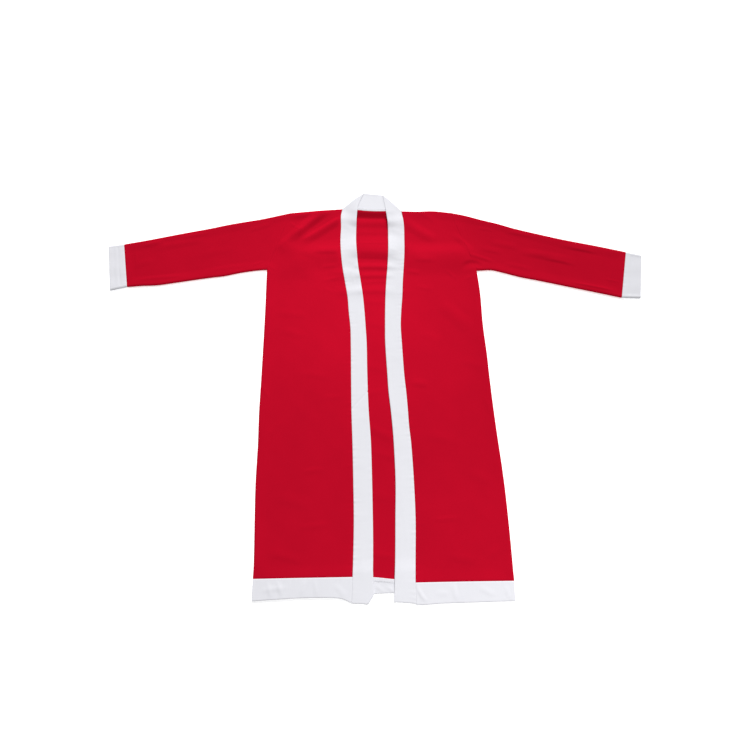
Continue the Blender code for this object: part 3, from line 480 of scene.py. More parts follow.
# Two soft square lamps: place over the floor, edge length and watts
Lamp = namedtuple("Lamp", "name x y z size power")
LAMPS = [Lamp("over_chest", -0.2, 0.45, 0.95, 0.5, 2.2), Lamp("over_hem", 0.5, -0.8, 0.9, 0.5, 2.7)]

# Light: strengths, and the key's softness and direction in degrees
KEY = 3.88
KEY_SOFTNESS = 24.0
KEY_TURN = 12.0
KEY_RISE = 36.0
FILL = 0.27
FLOOR_GLOW = 0.50

# Cloth colours, and the depth and unevenness of the nap
RED = (0.456, 0.0034, 0.0179)
WHITE = (0.696, 0.696, 0.736)
NAP_DEPTH = 0.0008
NAP_DETAIL = 0.6

# Painted light: the red cloth's colour is made lighter round the chest, as a painted pool of light
PAINTED_LIGHT_X = 0.00
PAINTED_LIGHT_Y = 0.25
PAINTED_LIGHT_REACH = 0.55
PAINTED_LIGHT_LIFT = 0.17

# A plain pale floor just under the robe
FLOOR_SIZE = 9.0
FLOOR_DROP = 0.0004
FLOOR_COLOUR = (0.97, 0.97, 0.97, 1.0)


# Interpolation

def mix(low, high, share):
    return low + (high - low) * share


def smooth(share):
    share = np.clip(share, 0.0, 1.0)
    return share * share * (3.0 - 2.0 * share)


def bell(share):
    """1 at 0 and 0 at -1 and +1, with a soft top and soft feet."""
    return np.where(np.abs(share) < 1.0, 0.5 + 0.5 * np.cos(np.pi * share), 0.0)


def rounding(share):
    """A quarter circle from 0 at share 0, upright, to 1 at share 1, level."""
    return np.sqrt(np.maximum(0.0, 1.0 - (1.0 - np.clip(share, 0.0, 1.0)) ** 2))


def through(rows, at):
    """The smooth curve through rows of (place, value), read at many places."""
    place, value = np.array(rows, float).T
    at = np.clip(at, place[0], place[-1])
    slope = np.gradient(value, place)
    slope[1:-1] = (value[2:] - value[:-2]) / (place[2:] - place[:-2])
    index = np.clip(np.searchsorted(place, at, side="right") - 1, 0, len(place) - 2)
    length = place[index + 1] - place[index]
    s = (at - place[index]) / length
    return (value[index] * (2 * s ** 3 - 3 * s ** 2 + 1) + value[index + 1] * (3 * s ** 2 - 2 * s ** 3)
            + length * slope[index] * (s ** 3 - 2 * s ** 2 + s)
            + length * slope[index + 1] * (s ** 3 - s ** 2))


def on_side(half, y):
    """The half's outer seam at height y: the side seam, then the armhole above the armpit."""
    armhole = mix(half.armpit.x, half.tip.x, (y - half.armpit.y) / (half.tip.y - half.armpit.y))
    return np.where(y <= half.armpit.y, through(half.side, y), armhole)


def neck_seam(x):
    """The back neck seam, a nearly straight line that dips a little in the middle."""
    share = (x - RIGHT.turn_seam.x) / (LEFT.turn_seam.x - RIGHT.turn_seam.x)
    straight = mix(RIGHT.turn_seam.y, LEFT.turn_seam.y, share)
    return straight - NECK_DIP * np.maximum(0.0, 1.0 - (2.0 * share - 1.0) ** 2)


def back_top(x):
    """The back's upper edge: both shoulders and the neck between them."""
    shoulders = np.where(x < 0.0, through(RIGHT.shoulder, x), through(LEFT.shoulder, x))
    between = (x > RIGHT.turn_seam.x) & (x < LEFT.turn_seam.x)
    return np.where(between, neck_seam(x) - SEAM_GAP, shoulders)


def band_outer(half, y):
    return through(half.band_outer, y)


def band_inner(half, y):
    inner = through(half.band_inner, y)
    if half.sign < 0:
        below = (JOIN_INNER.y - y) / NOTCH_REACH
        inner = inner - NOTCH_DEPTH * bell(np.where(below > 0.0, below, below * NOTCH_STEEP))
    return inner


def back_sides(y):
    return on_side(RIGHT, y), on_side(LEFT, y)


def front_sides(half, y):
    return on_side(half, y), band_outer(half, y) + half.sign * SEAM_LINE


def by_neck(x, y):
    """0 up to the neck's climb and 1 from the neck seam on."""
    return smooth((y - neck_seam(x)) / NECK_CLIMB + 1.0)


def to_line(start, end, x, y):
    """Distance to the line through two corners, the place along it, and its length."""
    run_x = end.x - start.x
    run_y = end.y - start.y
    length = math.hypot(run_x, run_y)
    along = ((x - start.x) * run_x + (y - start.y) * run_y) / length
    return np.abs((x - start.x) * run_y - (y - start.y) * run_x) / length, along, length


# Folds

def ridge_height(ridge, x, y):
    """Height of one soft ridge that runs from its first end to its second and dies away at both."""
    run_x = ridge.x1 - ridge.x0
    run_y = ridge.y1 - ridge.y0
    length = math.hypot(run_x, run_y)
    run_x /= length
    run_y /= length
    along = ((x - ridge.x0) * run_x + (y - ridge.y0) * run_y) / length
    across = (y - ridge.y0) * run_x - (x - ridge.x0) * run_y
    if run_x < 0.0:
        across = -across
    across = across - ridge.bow * 4.0 * along * (1.0 - along)
    width = np.where(across > 0.0, ridge.upper, ridge.lower)
    ends = smooth(np.minimum(along, 1.0 - along) / RIDGE_END)
    return ridge.height * bell(across / width) * ends


def ridges_height(rows, x, y):
    return sum(ridge_height(Ridge(*row), x, y) for row in rows)


def eased(past):
    """0 below 0 and rising evenly above it, with a soft bend between."""
    bend = np.clip(past + NECK_BEND, 0.0, 2.0 * NECK_BEND)
    return bend ** 2 / (4.0 * NECK_BEND) + np.maximum(0.0, past - NECK_BEND)


def neck_lift(x, y, ramp):
    """Lift along the neck seam: steep below it, less towards the strip's free edge and its creases."""
    middle = (RIGHT.turn_seam.x + LEFT.turn_seam.x) / 2.0
    across = 1.0 - smooth((np.abs(x - middle) - NECK_LEVEL) / NECK_SIDE)
    past = y - neck_seam(x)
    rise = (eased(past + NECK_SHELF + ramp) - eased(past + NECK_SHELF)) / ramp
    drop = COLLAR_DROP * np.clip(past / COLLAR_REACH, 0.0, 1.0)
    return NECK_LIFT * across * rise * (1.0 - drop)


def back_lift(x, y):
    return ridges_height(BACK_FOLDS, x, y) + neck_lift(x, y, NECK_RAMP)


def hump_height(half, x, y):
    """The band's own cross folds, slanted over its width."""
    outer = band_outer(half, y)
    inner = band_inner(half, y)
    across = np.clip((x - outer) / (inner - outer), 0.0, 1.0)
    total = 0.0
    for row in half.humps:
        hump = Hump(*row)
        past = y - hump.y + hump.slant * (across - 0.5)
        total = total + hump.height * bell(past / np.where(past > 0.0, hump.upper, hump.lower))
    return total


def band_middle(half, x, y):
    """Middle height of a front band: on the back, over its hem below, over the neck strip above."""
    over_hem = smooth((STEP_TOP_Y - y) / (STEP_TOP_Y - STEP_BOTTOM_Y))
    over_neck = by_neck(x, y)
    zone = smooth((y - FOLD_START) / MARGIN_BLEND) * (1.0 - over_neck)
    climb = NECK_MIDDLE + 2.0 * TURN_RADIUS - STRIP_MIDDLE
    height = mix(STRIP_MIDDLE, STRIP_OVER_HEM, over_hem) + climb * over_neck + FOLD_MARGIN * zone
    lifted = ridges_height(BACK_FOLDS, x, y) + hump_height(half, x, y)
    return height + neck_lift(x, y, BAND_RAMP) + lifted * (1.0 - over_neck)


def waves(x, y):
    """Faint broad unevenness of smoothed-out cloth. A piece adds to y to get waves of its own."""
    return WAVE_HEIGHT * sum(share * np.sin(a * x + b * y + start) for share, a, b, start in WAVES)


def puckers(along, seam, distance):
    """Small uneven waves along a seam, different on every seam, which die away beside it."""
    total = sum(share * np.sin(2.0 * np.pi * along / length + turn * seam)
                for share, length, turn in PUCKER_WAVES)
    swell = 1.0 - PUCKER_UNEVEN + PUCKER_UNEVEN * np.sin(2.0 * np.pi * along / PUCKER_SWELL + seam)
    return PUCKER * total * swell * np.exp(-distance / PUCKER_REACH)


def seam_relief(distance, along, seam):
    """The valley along a seam and the puckers beside it."""
    dip = SEAM_DIP * (1.0 - smooth(distance / SEAM_REACH))
    return puckers(along, seam, distance) * smooth(distance / PUCKER_START) - dip


def opening(x, y):
    """1 in the robe's opening, between both bands, and 0 under them."""
    from_right = smooth((x - band_inner(RIGHT, y)) / OPENING_BLEND)
    return from_right * smooth((band_inner(LEFT, y) - x) / OPENING_BLEND)


def flap(from_seam, width):
    """Rise of a strip over the seam's flap inside it, with a small step where the flap ends."""
    return FLAP_RISE * (1.0 - smooth((from_seam - width) / FLAP_STEP))


# The outline

def sampled(rows, swap):
    """A smooth curve through rows as points on the floor."""
    places = [row[0] for row in rows]
    count = max(2, round((max(places) - min(places)) / OUTLINE_STEP))
    at = np.linspace(min(places), max(places), count)
    value = through(rows, at)
    return np.stack([value, at] if swap else [at, value], axis=1)


def outline(half):
    """The half's outer edge as runs of points: shoulder, sleeve, and side."""
    return [sampled(half.shoulder, False), sampled(half.sleeve_top, False),
            sampled(half.sleeve_under, False), sampled(half.side, True)]


def edge_distance(runs, x, y):
    best = np.full(np.shape(x), 1.0)
    for run in runs:
        for (x0, y0), (x1, y1) in zip(run, run[1:]):
            run_x = x1 - x0
            run_y = y1 - y0
            share = np.clip(((x - x0) * run_x + (y - y0) * run_y) / (run_x ** 2 + run_y ** 2), 0.0, 1.0)
            best = np.minimum(best, np.hypot(x - x0 - run_x * share, y - y0 - run_y * share))
    return best


def settled(distance):
    """The outer face behind the roll: it sinks to the lower layer."""
    return ROLL_TOP - (ROLL_TOP - FLAT_TOP) * smooth((distance - ROLL_REACH) / SETTLE_REACH)


def roll_height(distance):
    """The outer face rises round from the seam at the edge, then settles."""
    return ROLL_FOOT + (settled(distance) - ROLL_FOOT) * rounding(distance / ROLL_ROUND)


def armhole_distance(half, x, y):
    """Distance to the seam between front and sleeve, and the place along it."""
    across, along, length = to_line(half.armpit, half.tip, x, y)
    beyond = np.maximum(0.0, np.maximum(-along, along - length))
    return np.hypot(across, beyond), along


def front_top(half, x, y):
    """Outer face of a front panel, level with its band and its hem strip along their seams."""
    from_band = np.abs(x - band_outer(half, y))
    from_edge = edge_distance(outline(half), x, y)
    height = roll_height(from_edge)
    folds = ridges_height(half.front_folds, x, y)
    height += folds * smooth(from_band / FOLD_BLEND) * smooth(from_edge / EDGE_BLEND)
    near_band = 1.0 - smooth(from_band / BAND_BLEND)
    carried = 1.0 - smooth(from_band / HUMP_SPREAD)
    height += smooth((y - FOLD_START) / MARGIN_BLEND) * carried * FOLD_MARGIN
    height += hump_height(half, x, np.minimum(y, FAN_START)) * carried * (1.0 - by_neck(x, y))
    shoulder = smooth((through(half.shoulder, x) - y) / ROLL_REACH)
    height += (STRIP_MIDDLE + RED_WALL / 2.0 - FLAT_TOP) * near_band * shoulder
    near_hem = 1.0 - smooth((y - through(half.hem_top, x)) / HEM_BLEND)
    height = mix(height, STRIP_OVER_HEM + RED_WALL / 2.0, near_hem)
    return height + back_lift(x, y)


def front_relief(half, x, y):
    """The front's smaller creases, and its seams with the band, the hem strip and the sleeve."""
    inside = smooth(edge_distance(outline(half), x, y) / EDGE_QUIET)
    from_band = np.abs(x - band_outer(half, y))
    from_hem = y - through(half.hem_top, x)
    from_sleeve, along = armhole_distance(half, x, y)
    quiet = smooth(from_hem / HEM_QUIET) * smooth(from_band / BAND_QUIET)
    relief = (ridges_height(CREASES[half.name], x, y) + waves(x, y)) * quiet
    relief += seam_relief(from_band, y, BAND_SEAM + half.sign)
    relief += seam_relief(from_hem, x, HEM_SEAM + half.sign)
    relief += seam_relief(from_sleeve, along, ARMHOLE_SEAM + half.sign) * ARMHOLE_SHARE
    return relief * inside


# Mesh makers

def spread(low, high, step, near_low, near_high):
    """Places from low to high: close to each end as listed, and a step apart between."""
    start = low + near_low[-1]
    end = high - near_high[-1]
    count = max(2, round((end - start) / step) + 1)
    return np.concatenate([low + np.array(near_low[:-1]), np.linspace(start, end, count),
                           high - np.array(near_high[-2::-1])])


def new_piece(name, points, faces, material):
    """A closed cloth wall as one object, with its faces pointing out."""
    mesh = bpy.data.meshes.new(name)
    points = np.asarray(points, float) - (CENTRE_X, CENTRE_Y, 0.0)
    a, b, c, d = (points[faces[:, i]] for i in range(4))
    volume = np.einsum("ij,ij->", a, np.cross(b, c)) + np.einsum("ij,ij->", a, np.cross(c, d))
    if volume < 0.0:
        faces = faces[:, ::-1]
    mesh.from_pydata(points.tolist(), [], faces.tolist())
    mesh.validate()
    mesh.shade_smooth()
    mesh.materials.append(material)
    piece = bpy.data.objects.new(name, mesh)
    bpy.context.scene.collection.objects.link(piece)
    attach(piece, "root")
    return piece


def grid_faces(index):
    return np.stack([index[:-1, :-1], index[:-1, 1:], index[1:, 1:], index[1:, :-1]], axis=-1).reshape(-1, 4)


def cloth_wall(name, outer, inner, material, tube=False):
    """A wall between an outer and an inner grid of points, joined all round the border.

    A tube's columns run once around it, and it is joined round both ends.
    """
    rows, columns = outer.shape[:2]
    shift = rows * columns
    index = np.arange(shift).reshape(rows, columns)
    if tube:
        index = np.concatenate([index, index[:, :1]], axis=1)
        rims = [(index[0] + shift, index[0]), (index[-1], index[-1] + shift)]
    else:
        border = np.concatenate([index[0, :-1], index[:-1, -1], index[-1, :0:-1], index[::-1, 0]])
        rims = [(border + shift, border)]
    walls = grid_faces(index)
    faces = np.concatenate([walls, walls[:, ::-1] + shift] + [grid_faces(np.stack(rim)) for rim in rims])
    points = np.concatenate([outer.reshape(-1, 3), inner.reshape(-1, 3)])
    return new_piece(name, points, faces, material)


def grid_points(x, y, z):
    return np.stack(np.broadcast_arrays(x, y, z), axis=-1)


# Red panels

def panel_places(sides, shares, hem_line, seam, top_line, high, step, slant_reach):
    """Places of a panel's grid. Its rows are level, but slant near the hem and near the upper edge."""
    low = hem_line[0][1]
    rows = spread(low, high, step, SEAM_STEPS, ROUND_STEPS)[:, None]
    near_hem = np.maximum(0.0, (SKIRT_START - rows) / (SKIRT_START - low))
    near_top = np.maximum(0.0, 1.0 - (high - rows) / slant_reach)
    x = mix(*sides(rows), shares)
    y = rows + (through(hem_line, x) + seam - low) * near_hem + (top_line(x) - high) * near_top
    return mix(*sides(y), shares), y


def make_back(material):
    near_side = np.array(ROUND_STEPS) / BODY_WIDTH
    right, left = OPENING_SHARES
    shares = np.concatenate([
        spread(0.0, right, HIDDEN_STEP / BODY_WIDTH, near_side, (0.0,)),
        np.linspace(right, left, round((left - right) * BODY_WIDTH / STEP))[1:-1],
        spread(left, 1.0, HIDDEN_STEP / BODY_WIDTH, (0.0,), near_side),
    ])[None, :]
    x, y = panel_places(back_sides, shares, BACK_HEM_TOP, SEAM_GAP, back_top, RIGHT.tip.y, BACK_STEP,
                        BACK_SLANT_REACH)
    distance = edge_distance(outline(RIGHT) + outline(LEFT), x, y)
    creases = ridges_height(BACK_CREASES, x, y)
    inside = smooth((y - through(BACK_HEM_TOP, x)) / BACK_HEM_QUIET)
    lift = back_lift(x, y)
    top = RED_WALL + lift + (creases + waves(x, y + BACK_SHIFT)) * inside
    bottom = np.maximum(0.0, lift + np.maximum(creases, 0.0) * inside)
    bottom = bottom + (RED_WALL - SEAM_LINE) * (1.0 - rounding(distance / UNDER_ROUND))
    top = np.maximum(top, bottom + SEAM_LINE)
    return cloth_wall("cloth_back", grid_points(x, y, top), grid_points(x, y, bottom), material)


def make_front(half, material):
    near_side = np.array(ROUND_STEPS) / FRONT_WIDTH
    shares = spread(0.0, 1.0, STEP / FRONT_WIDTH, near_side, np.array(SEAM_STEPS) / FRONT_WIDTH)[None, :]
    x, y = panel_places(lambda y: front_sides(half, y), shares, half.hem_top, SEAM_LINE,
                        lambda x: through(half.shoulder, x), half.tip.y, STEP, FRONT_SLANT_REACH)
    top = front_top(half, x, y) + front_relief(half, x, y)
    floor = RED_WALL + 2.0 * SEAM_LINE + back_lift(x, y)
    bottom = np.minimum(np.maximum(top - RED_WALL, floor), top - SEAM_LINE)
    return cloth_wall("cloth_front_" + half.name, grid_points(x, y, top), grid_points(x, y, bottom), material)


def tube_grid(under, top, height, wall, face):
    """A flattened tube: round at both folds, flat on the floor, its outer face at face(distance, x, y).

    under and top hold the two folds' points, a row for each station, and wall how far inside the
    outer face the grid lies.
    """
    width = np.hypot(top[:, :1] - under[:, :1], top[:, 1:] - under[:, 1:])
    radius = height / 2.0
    turns = np.radians(np.linspace(-90.0, 90.0, TURN_STEPS))[None, :]
    fold_across = FOLD_DEPTH - (FOLD_DEPTH - wall) * np.cos(turns)
    fold_rise = radius + (radius - wall) * np.sin(turns)
    steps = np.array(FACE_STEPS)
    count = round((width.max() - 2.0 * (FOLD_DEPTH + steps[-1])) / TUBE_STEP)
    face_start = FOLD_DEPTH + np.zeros_like(width)
    near = face_start + steps[None, 1:]
    far = width - face_start - steps[None, :0:-1]
    middle = mix(near[:, -1:], far[:, :1], np.linspace(0.0, 1.0, count)[None, 1:-1])
    face_across = np.concatenate([near, middle, far], axis=1)
    floor_across = mix(width - FOLD_DEPTH, FOLD_DEPTH, np.linspace(0.0, 1.0, FLOOR_STEPS)[None, 1:-1])
    near_fold = np.broadcast_to(fold_across, (len(width), TURN_STEPS))
    across = np.concatenate([near_fold, face_across, width - near_fold[:, ::-1], floor_across], axis=1)
    x = mix(under[:, :1], top[:, :1], across / width)
    y = mix(under[:, 1:], top[:, 1:], across / width)
    on_face = slice(TURN_STEPS, TURN_STEPS + face_across.shape[1])
    rise = np.zeros_like(across)
    rise[:, :TURN_STEPS] = fold_rise
    rise[:, on_face] = face(np.minimum(face_across, width - face_across), x[:, on_face], y[:, on_face]) - wall
    rise[:, on_face.stop:on_face.stop + TURN_STEPS] = fold_rise[:, ::-1]
    rise[:, on_face.stop + TURN_STEPS:] = wall
    return grid_points(x, y, rise)


def make_sleeve(half, material):
    length = abs(half.cuff_seam[1].x - half.tip.x)
    shares = (spread(0.0, length, TUBE_STEP, SEAM_STEPS, SEAM_STEPS) / length)[:, None]
    seam = half.sign * SEAM_LINE
    under_x = mix(half.armpit.x + seam, half.cuff_seam[0].x - seam, shares)
    top_x = mix(half.tip.x + seam, half.cuff_seam[1].x - seam, shares)
    under = np.concatenate([under_x, through(half.sleeve_under, under_x)], axis=1)
    top = np.concatenate([top_x, through(half.sleeve_top, top_x)], axis=1)
    from_cuff = (1.0 - shares) * length
    folds = half.sleeve_folds + half.front_folds

    def face(distance, x, y):
        height = settled(distance) + ridges_height(folds, x, y) * smooth(distance / EDGE_BLEND)
        level = CUFF_FLAT - (STRIP_WALL - RED_WALL) / 2.0
        height = mix(height, level, 1.0 - smooth(from_cuff / CUFF_BLEND))
        from_front, along = armhole_distance(half, x, y)
        creases = ridges_height(CREASES[half.name], x, y)
        relief = (creases + waves(x, y)) * smooth(from_cuff / CUFF_QUIET)
        relief += seam_relief(from_cuff, y, CUFF_SEAM + half.sign)
        relief += seam_relief(from_front, along, ARMHOLE_SEAM + half.sign) * ARMHOLE_SHARE
        return height + relief * smooth((distance - FOLD_DEPTH) / ROLL_REACH)

    from_end = np.minimum(from_cuff, shares * length)
    outer_wall = SEAM_DIP * SEAM_THINNING * (1.0 - smooth(from_end / SEAM_REACH))
    outer = tube_grid(under, top, ROLL_TOP, outer_wall, lambda d, x, y: face(d, x, y) + outer_wall)
    inner = tube_grid(under, top, ROLL_TOP, RED_WALL, face)
    return cloth_wall("cloth_sleeve_" + half.name, outer, inner, material, tube=True)


# White strips

def strip_half_wall(from_fold, from_seam):
    """Half the thickness of a doubled strip: round at its folded edge and thin at its seam."""
    full = mix(SEAM_EDGE, STRIP_WALL / 2.0, smooth(from_seam / STRIP_FILL))
    return np.maximum(THIN_EDGE, full * rounding(from_fold / STRIP_ROUND))


def make_cuff(half, material):
    from_seam = spread(0.0, CUFF_WIDTH, HEM_STEP, SEAM_STEPS, STRIP_STEPS)[:, None]
    shares = from_seam / CUFF_WIDTH
    under = mix(np.array([half.cuff_seam[0]]), np.array([half.cuff_end[0]]), shares)
    top = mix(np.array([half.cuff_seam[1]]), np.array([half.cuff_end[1]]), shares)
    thick = strip_half_wall(CUFF_WIDTH - from_seam, from_seam)
    crease = sum(depth * bell((from_seam - place) / reach) for place, reach, depth in CUFF_CREASES)

    def face(distance, x, y):
        away = smooth((distance - FOLD_DEPTH) / EDGE_QUIET)
        ripple = puckers(y, CUFF_STRIP + half.sign, from_seam)
        soft = CUFF_WAVE * np.sin(y * CUFF_WAVE_TURNS + 2.0 * half.sign) * np.sin(shares * CUFF_WAVE_SPAN)
        uneven = 1.0 - CREASE_UNEVEN + CREASE_UNEVEN * np.sin(CREASE_TURNS * y)
        return CUFF_FLAT + (ripple + soft - crease * uneven) * away

    outer = tube_grid(under, top, CUFF_HEIGHT, STRIP_WALL / 2.0 - thick, face)
    inner = tube_grid(under, top, CUFF_HEIGHT, STRIP_WALL / 2.0 + thick, face)
    return cloth_wall("trim_cuff_" + half.name, outer, inner, material, tube=True)


def band_stations(half):
    """Middle surface of a front band from its lower end up to the crease beside the neck."""
    low = half.band_end[0][1]
    rows = spread(low, FAN_START, BAND_STEP, STRIP_STEPS, (0.0,))
    fan = np.linspace(0.0, 1.0, FAN_STEPS)[1:]
    shares = strip_shares()[None, :]
    opened = np.concatenate([np.zeros_like(rows), fan])[:, None]
    rows = np.concatenate([rows, np.full_like(fan, FAN_START)])[:, None]
    outer_y = mix(rows, half.turn_seam.y, opened)
    inner_y = mix(rows, half.turn_free.y - TURN_SLIP, opened)
    near_end = np.maximum(0.0, (SKIRT_START - rows) / (SKIRT_START - low))
    y = mix(outer_y, inner_y, shares) + (through(half.band_end, shares) - low) * near_end
    x = mix(band_outer(half, outer_y), band_inner(half, inner_y), shares)
    return grid_points(x, y, band_middle(half, x, y))


def strip_shares():
    return spread(0.0, BAND_WIDTH, HEM_STEP, SEAM_STEPS, STRIP_STEPS) / BAND_WIDTH


def neck_stations():
    """Middle surface of the strip behind the neck, with the turn under it at each crease."""
    shares = strip_shares()
    places = np.linspace(0.0, 1.0, NECK_STEPS)
    seam_x = mix(RIGHT.turn_seam.x, LEFT.turn_seam.x, places)
    free_x = mix(RIGHT.turn_free.x, LEFT.turn_free.x, places)
    free_y = mix(RIGHT.turn_free.y, LEFT.turn_free.y, places)
    x = mix(seam_x[:, None], free_x[:, None], shares[None, :])
    y = mix(neck_seam(seam_x)[:, None], free_y[:, None], shares[None, :])
    behind = grid_points(x, y, NECK_MIDDLE + neck_lift(x, y, NECK_RAMP))
    return turn_stations(RIGHT, shares)[::-1], behind, turn_stations(LEFT, shares)


def turn_stations(half, shares):
    """The strip's half turn at a crease, from the lower layer up."""
    run_x = half.turn_free.x - half.turn_seam.x
    run_y = half.turn_free.y - half.turn_seam.y
    length = math.hypot(run_x, run_y)
    turns = np.linspace(0.0, math.pi, TURN_STEPS)[1:-1, None]
    x = mix(half.turn_seam.x, half.turn_free.x, shares)[None, :]
    slip = TURN_SLIP * (1.0 - np.cos(turns)) / 2.0
    y = mix(half.turn_seam.y, half.turn_free.y - slip, shares[None, :])
    rise = NECK_MIDDLE + neck_lift(x, y, NECK_RAMP) + TURN_RADIUS * (1.0 - np.cos(turns))
    reach = TURN_RADIUS * np.sin(turns)
    return grid_points(x + half.sign * abs(run_y) / length * reach, y + abs(run_x) / length * reach, rise)


def make_strip(material):
    """The one long strip: up the right front, round the neck and down the left front."""
    right_turn, behind, left_turn = neck_stations()
    middle = np.concatenate([band_stations(RIGHT), right_turn, behind, left_turn, band_stations(LEFT)[::-1]])
    x, y = middle[..., 0], middle[..., 1]
    along = np.gradient(middle, axis=0)
    across = np.gradient(middle, axis=1)
    normal = np.cross(across, along)
    normal /= np.linalg.norm(normal, axis=-1, keepdims=True)
    width = np.linalg.norm(middle[:, -1] - middle[:, 0], axis=-1)[:, None]
    from_seam = strip_shares()[None, :] * width
    from_free = width - from_seam
    line = middle[:, MIDDLE_COLUMN]
    run = np.cumsum(np.linalg.norm(np.diff(line, axis=0, prepend=line[:1]), axis=-1))[:, None]
    from_end = np.minimum(run - run[0], run[-1] - run)
    half_wall = strip_half_wall(np.minimum(from_free, from_end), from_seam)
    half_wall = half_wall * mix(1.0, NECK_PRESS, by_neck(x, y))
    on_top = smooth((normal[..., 2] - LEVEL_START) / LEVEL_SPAN)
    from_join = to_line(JOIN_INNER, JOIN_OUTER, x, y)[0]
    joined = (x < 0.0) & (y < 0.0)
    relief = ridges_height(STRIP_CREASES, x, y) + STRIP_WAVE_SHARE * waves(x, y + BAND_SHIFT)
    relief -= np.where(joined, JOIN_DIP * (1.0 - smooth(from_join / JOIN_REACH)), 0.0)
    relief += flap(from_seam, NECK_FLAP) * opening(x, y)
    relief *= on_top
    relief += puckers(run, BAND_STRIP_SEAM, from_seam)
    relief += BAND_FOLD_SHARE * puckers(run * BAND_FOLD_PACE, BAND_STRIP_FOLD, from_free)
    outer = middle + normal * (half_wall + relief)[..., None]
    outer[..., 2] = np.maximum(outer[..., 2], 0.0)
    inner = middle - normal * (half_wall - TROUGH_SHARE * np.minimum(relief, 0.0))[..., None]
    inner[..., 2] = np.maximum(inner[..., 2], 0.0)
    return cloth_wall("trim_front_strip", outer, inner, material)


def make_hem(name, sides, low_line, high_line, middle, creases, material):
    """A hem strip between two lines: folded along its lower edge, sewn along its upper one."""
    from_fold = spread(0.0, HEM_WIDTH, HEM_STEP, STRIP_STEPS, SEAM_STEPS)[:, None]
    from_seam = HEM_WIDTH - from_fold
    start, end = sides(np.array(high_line[0][1]))
    span = abs(end - start)
    near = np.array(ROUND_STEPS) / span
    shares = spread(0.0, 1.0, 1.0 / round(span / STEP), near, near)[None, :]
    x = mix(start, end, shares)
    y = mix(through(low_line, x), through(high_line, x), from_fold / HEM_WIDTH)
    x = mix(*sides(y), shares)
    from_end = np.minimum(shares, 1.0 - shares) * span
    half_wall = strip_half_wall(from_fold, from_seam)
    half_wall = np.maximum(THIN_EDGE, half_wall * rounding((from_end + HEM_END) / STRIP_ROUND))
    relief = ridges_height(creases, x, y) + STRIP_WAVE_SHARE * waves(x, y + HEM_SHIFT)
    relief += flap(from_seam, HEM_FLAP) * opening(x, y)
    apart = middle * HEM_APART
    relief += puckers(x, HEM_STRIP_SEAM + apart, from_seam)
    relief += HEM_FOLD_SHARE * puckers(x * HEM_FOLD_PACE, HEM_STRIP_FOLD + apart, from_fold)
    relief *= smooth(from_end / EDGE_QUIET)
    top = middle + half_wall + relief
    bottom = np.maximum(middle - STRIP_WALL / 2.0, middle - half_wall)
    return cloth_wall(name, grid_points(x, y, top), grid_points(x, y, bottom), material)


def make_front_hem(half, material):
    return make_hem("trim_hem_front_" + half.name, lambda y: front_sides(half, y), half.hem_bottom,
                    half.hem_top, STRIP_OVER_HEM, HEM_CREASES[half.name], material)


def make_back_hem(material):
    return make_hem("trim_hem_back", back_sides, BACK_HEM_BOTTOM, BACK_HEM_TOP, STRIP_WALL / 2.0,
                    HEM_CREASES["back"], material)


# Sewing

def height_on(piece, x, y):
    """Height of a piece's upper face over places on the floor."""
    points = [vertex.co for vertex in piece.data.vertices]
    tree = BVHTree.FromPolygons(points, [polygon.vertices for polygon in piece.data.polygons])
    starts = grid_points(x - CENTRE_X, y - CENTRE_Y, ROBE_CLEAR)
    return np.array([tree.ray_cast(Vector(start), Vector((0.0, 0.0, -1.0)))[0].z for start in starts])


def make_thread(name, piece, x, y, rise, material):
    """A thread laid on a piece along places on the floor, as a thin four-sided tube."""
    path = grid_points(x, y, height_on(piece, x, y) + rise)
    along = np.gradient(path, axis=0)
    side = np.cross(along, (0.0, 0.0, 1.0))
    up = np.cross(side, along)
    side *= THREAD_RADIUS / np.linalg.norm(side, axis=1, keepdims=True)
    up *= THREAD_RADIUS / np.linalg.norm(up, axis=1, keepdims=True)
    rings = np.stack([path + side, path + up, path - side, path - up], axis=1)
    index = np.arange(rings.shape[0] * 4).reshape(-1, 4)
    walls = grid_faces(np.concatenate([index, index[:, :1]], axis=1))
    faces = np.concatenate([walls, index[:1, ::-1], index[-1:]])
    thread = new_piece(name, rings.reshape(-1, 3), faces, material)
    return thread


def make_sewing(name, piece, seam, side, flap_width, material):
    """Stitches beside a seam across the opening, and edging loops along the end of its flap."""
    low = seam(np.array([0.0]))[0]
    start = band_inner(RIGHT, low) + SEWING_INSET
    end = band_inner(LEFT, low) - SEWING_INSET
    x = np.arange(start, end, LOOP_STEP / LOOP_STEPS)
    dip = STITCH_DIP * (0.5 - 0.5 * np.cos(2.0 * np.pi * x / STITCH_STEP))
    y = seam(x) + side * SEAM_STITCH
    stitches = make_thread(name + "_stitches", piece, x, y, THREAD_SINK - dip, material)
    across = flap_width - LOOP_WIDTH * (0.5 + 0.5 * np.sin(2.0 * np.pi * x / LOOP_STEP))
    loops = make_thread(name + "_loops", piece, x, seam(x) + side * across, THREAD_SINK, material)
    return [stitches, loops]


# Materials

def set_inputs(node, inputs):
    """Set each input of a shader node to a value, or link it from another node's output."""
    for name, value in inputs.items():
        if isinstance(value, bpy.types.NodeSocket):
            node.id_data.links.new(value, node.inputs[name])
        else:
            node.inputs[name].default_value = value


def add_node(tree, kind, inputs, **settings):
    node = tree.nodes.new("ShaderNode" + kind)
    for name, value in settings.items():
        setattr(node, name, value)
    set_inputs(node, inputs)
    return node


def shares_of(tree, total, *parts):
    """A first value plus a share of each texture."""
    for texture, share in parts:
        node = add_node(tree, "Math", {0: texture, 1: share, 2: total}, operation="MULTIPLY_ADD")
        total = node.outputs["Value"]
    return total


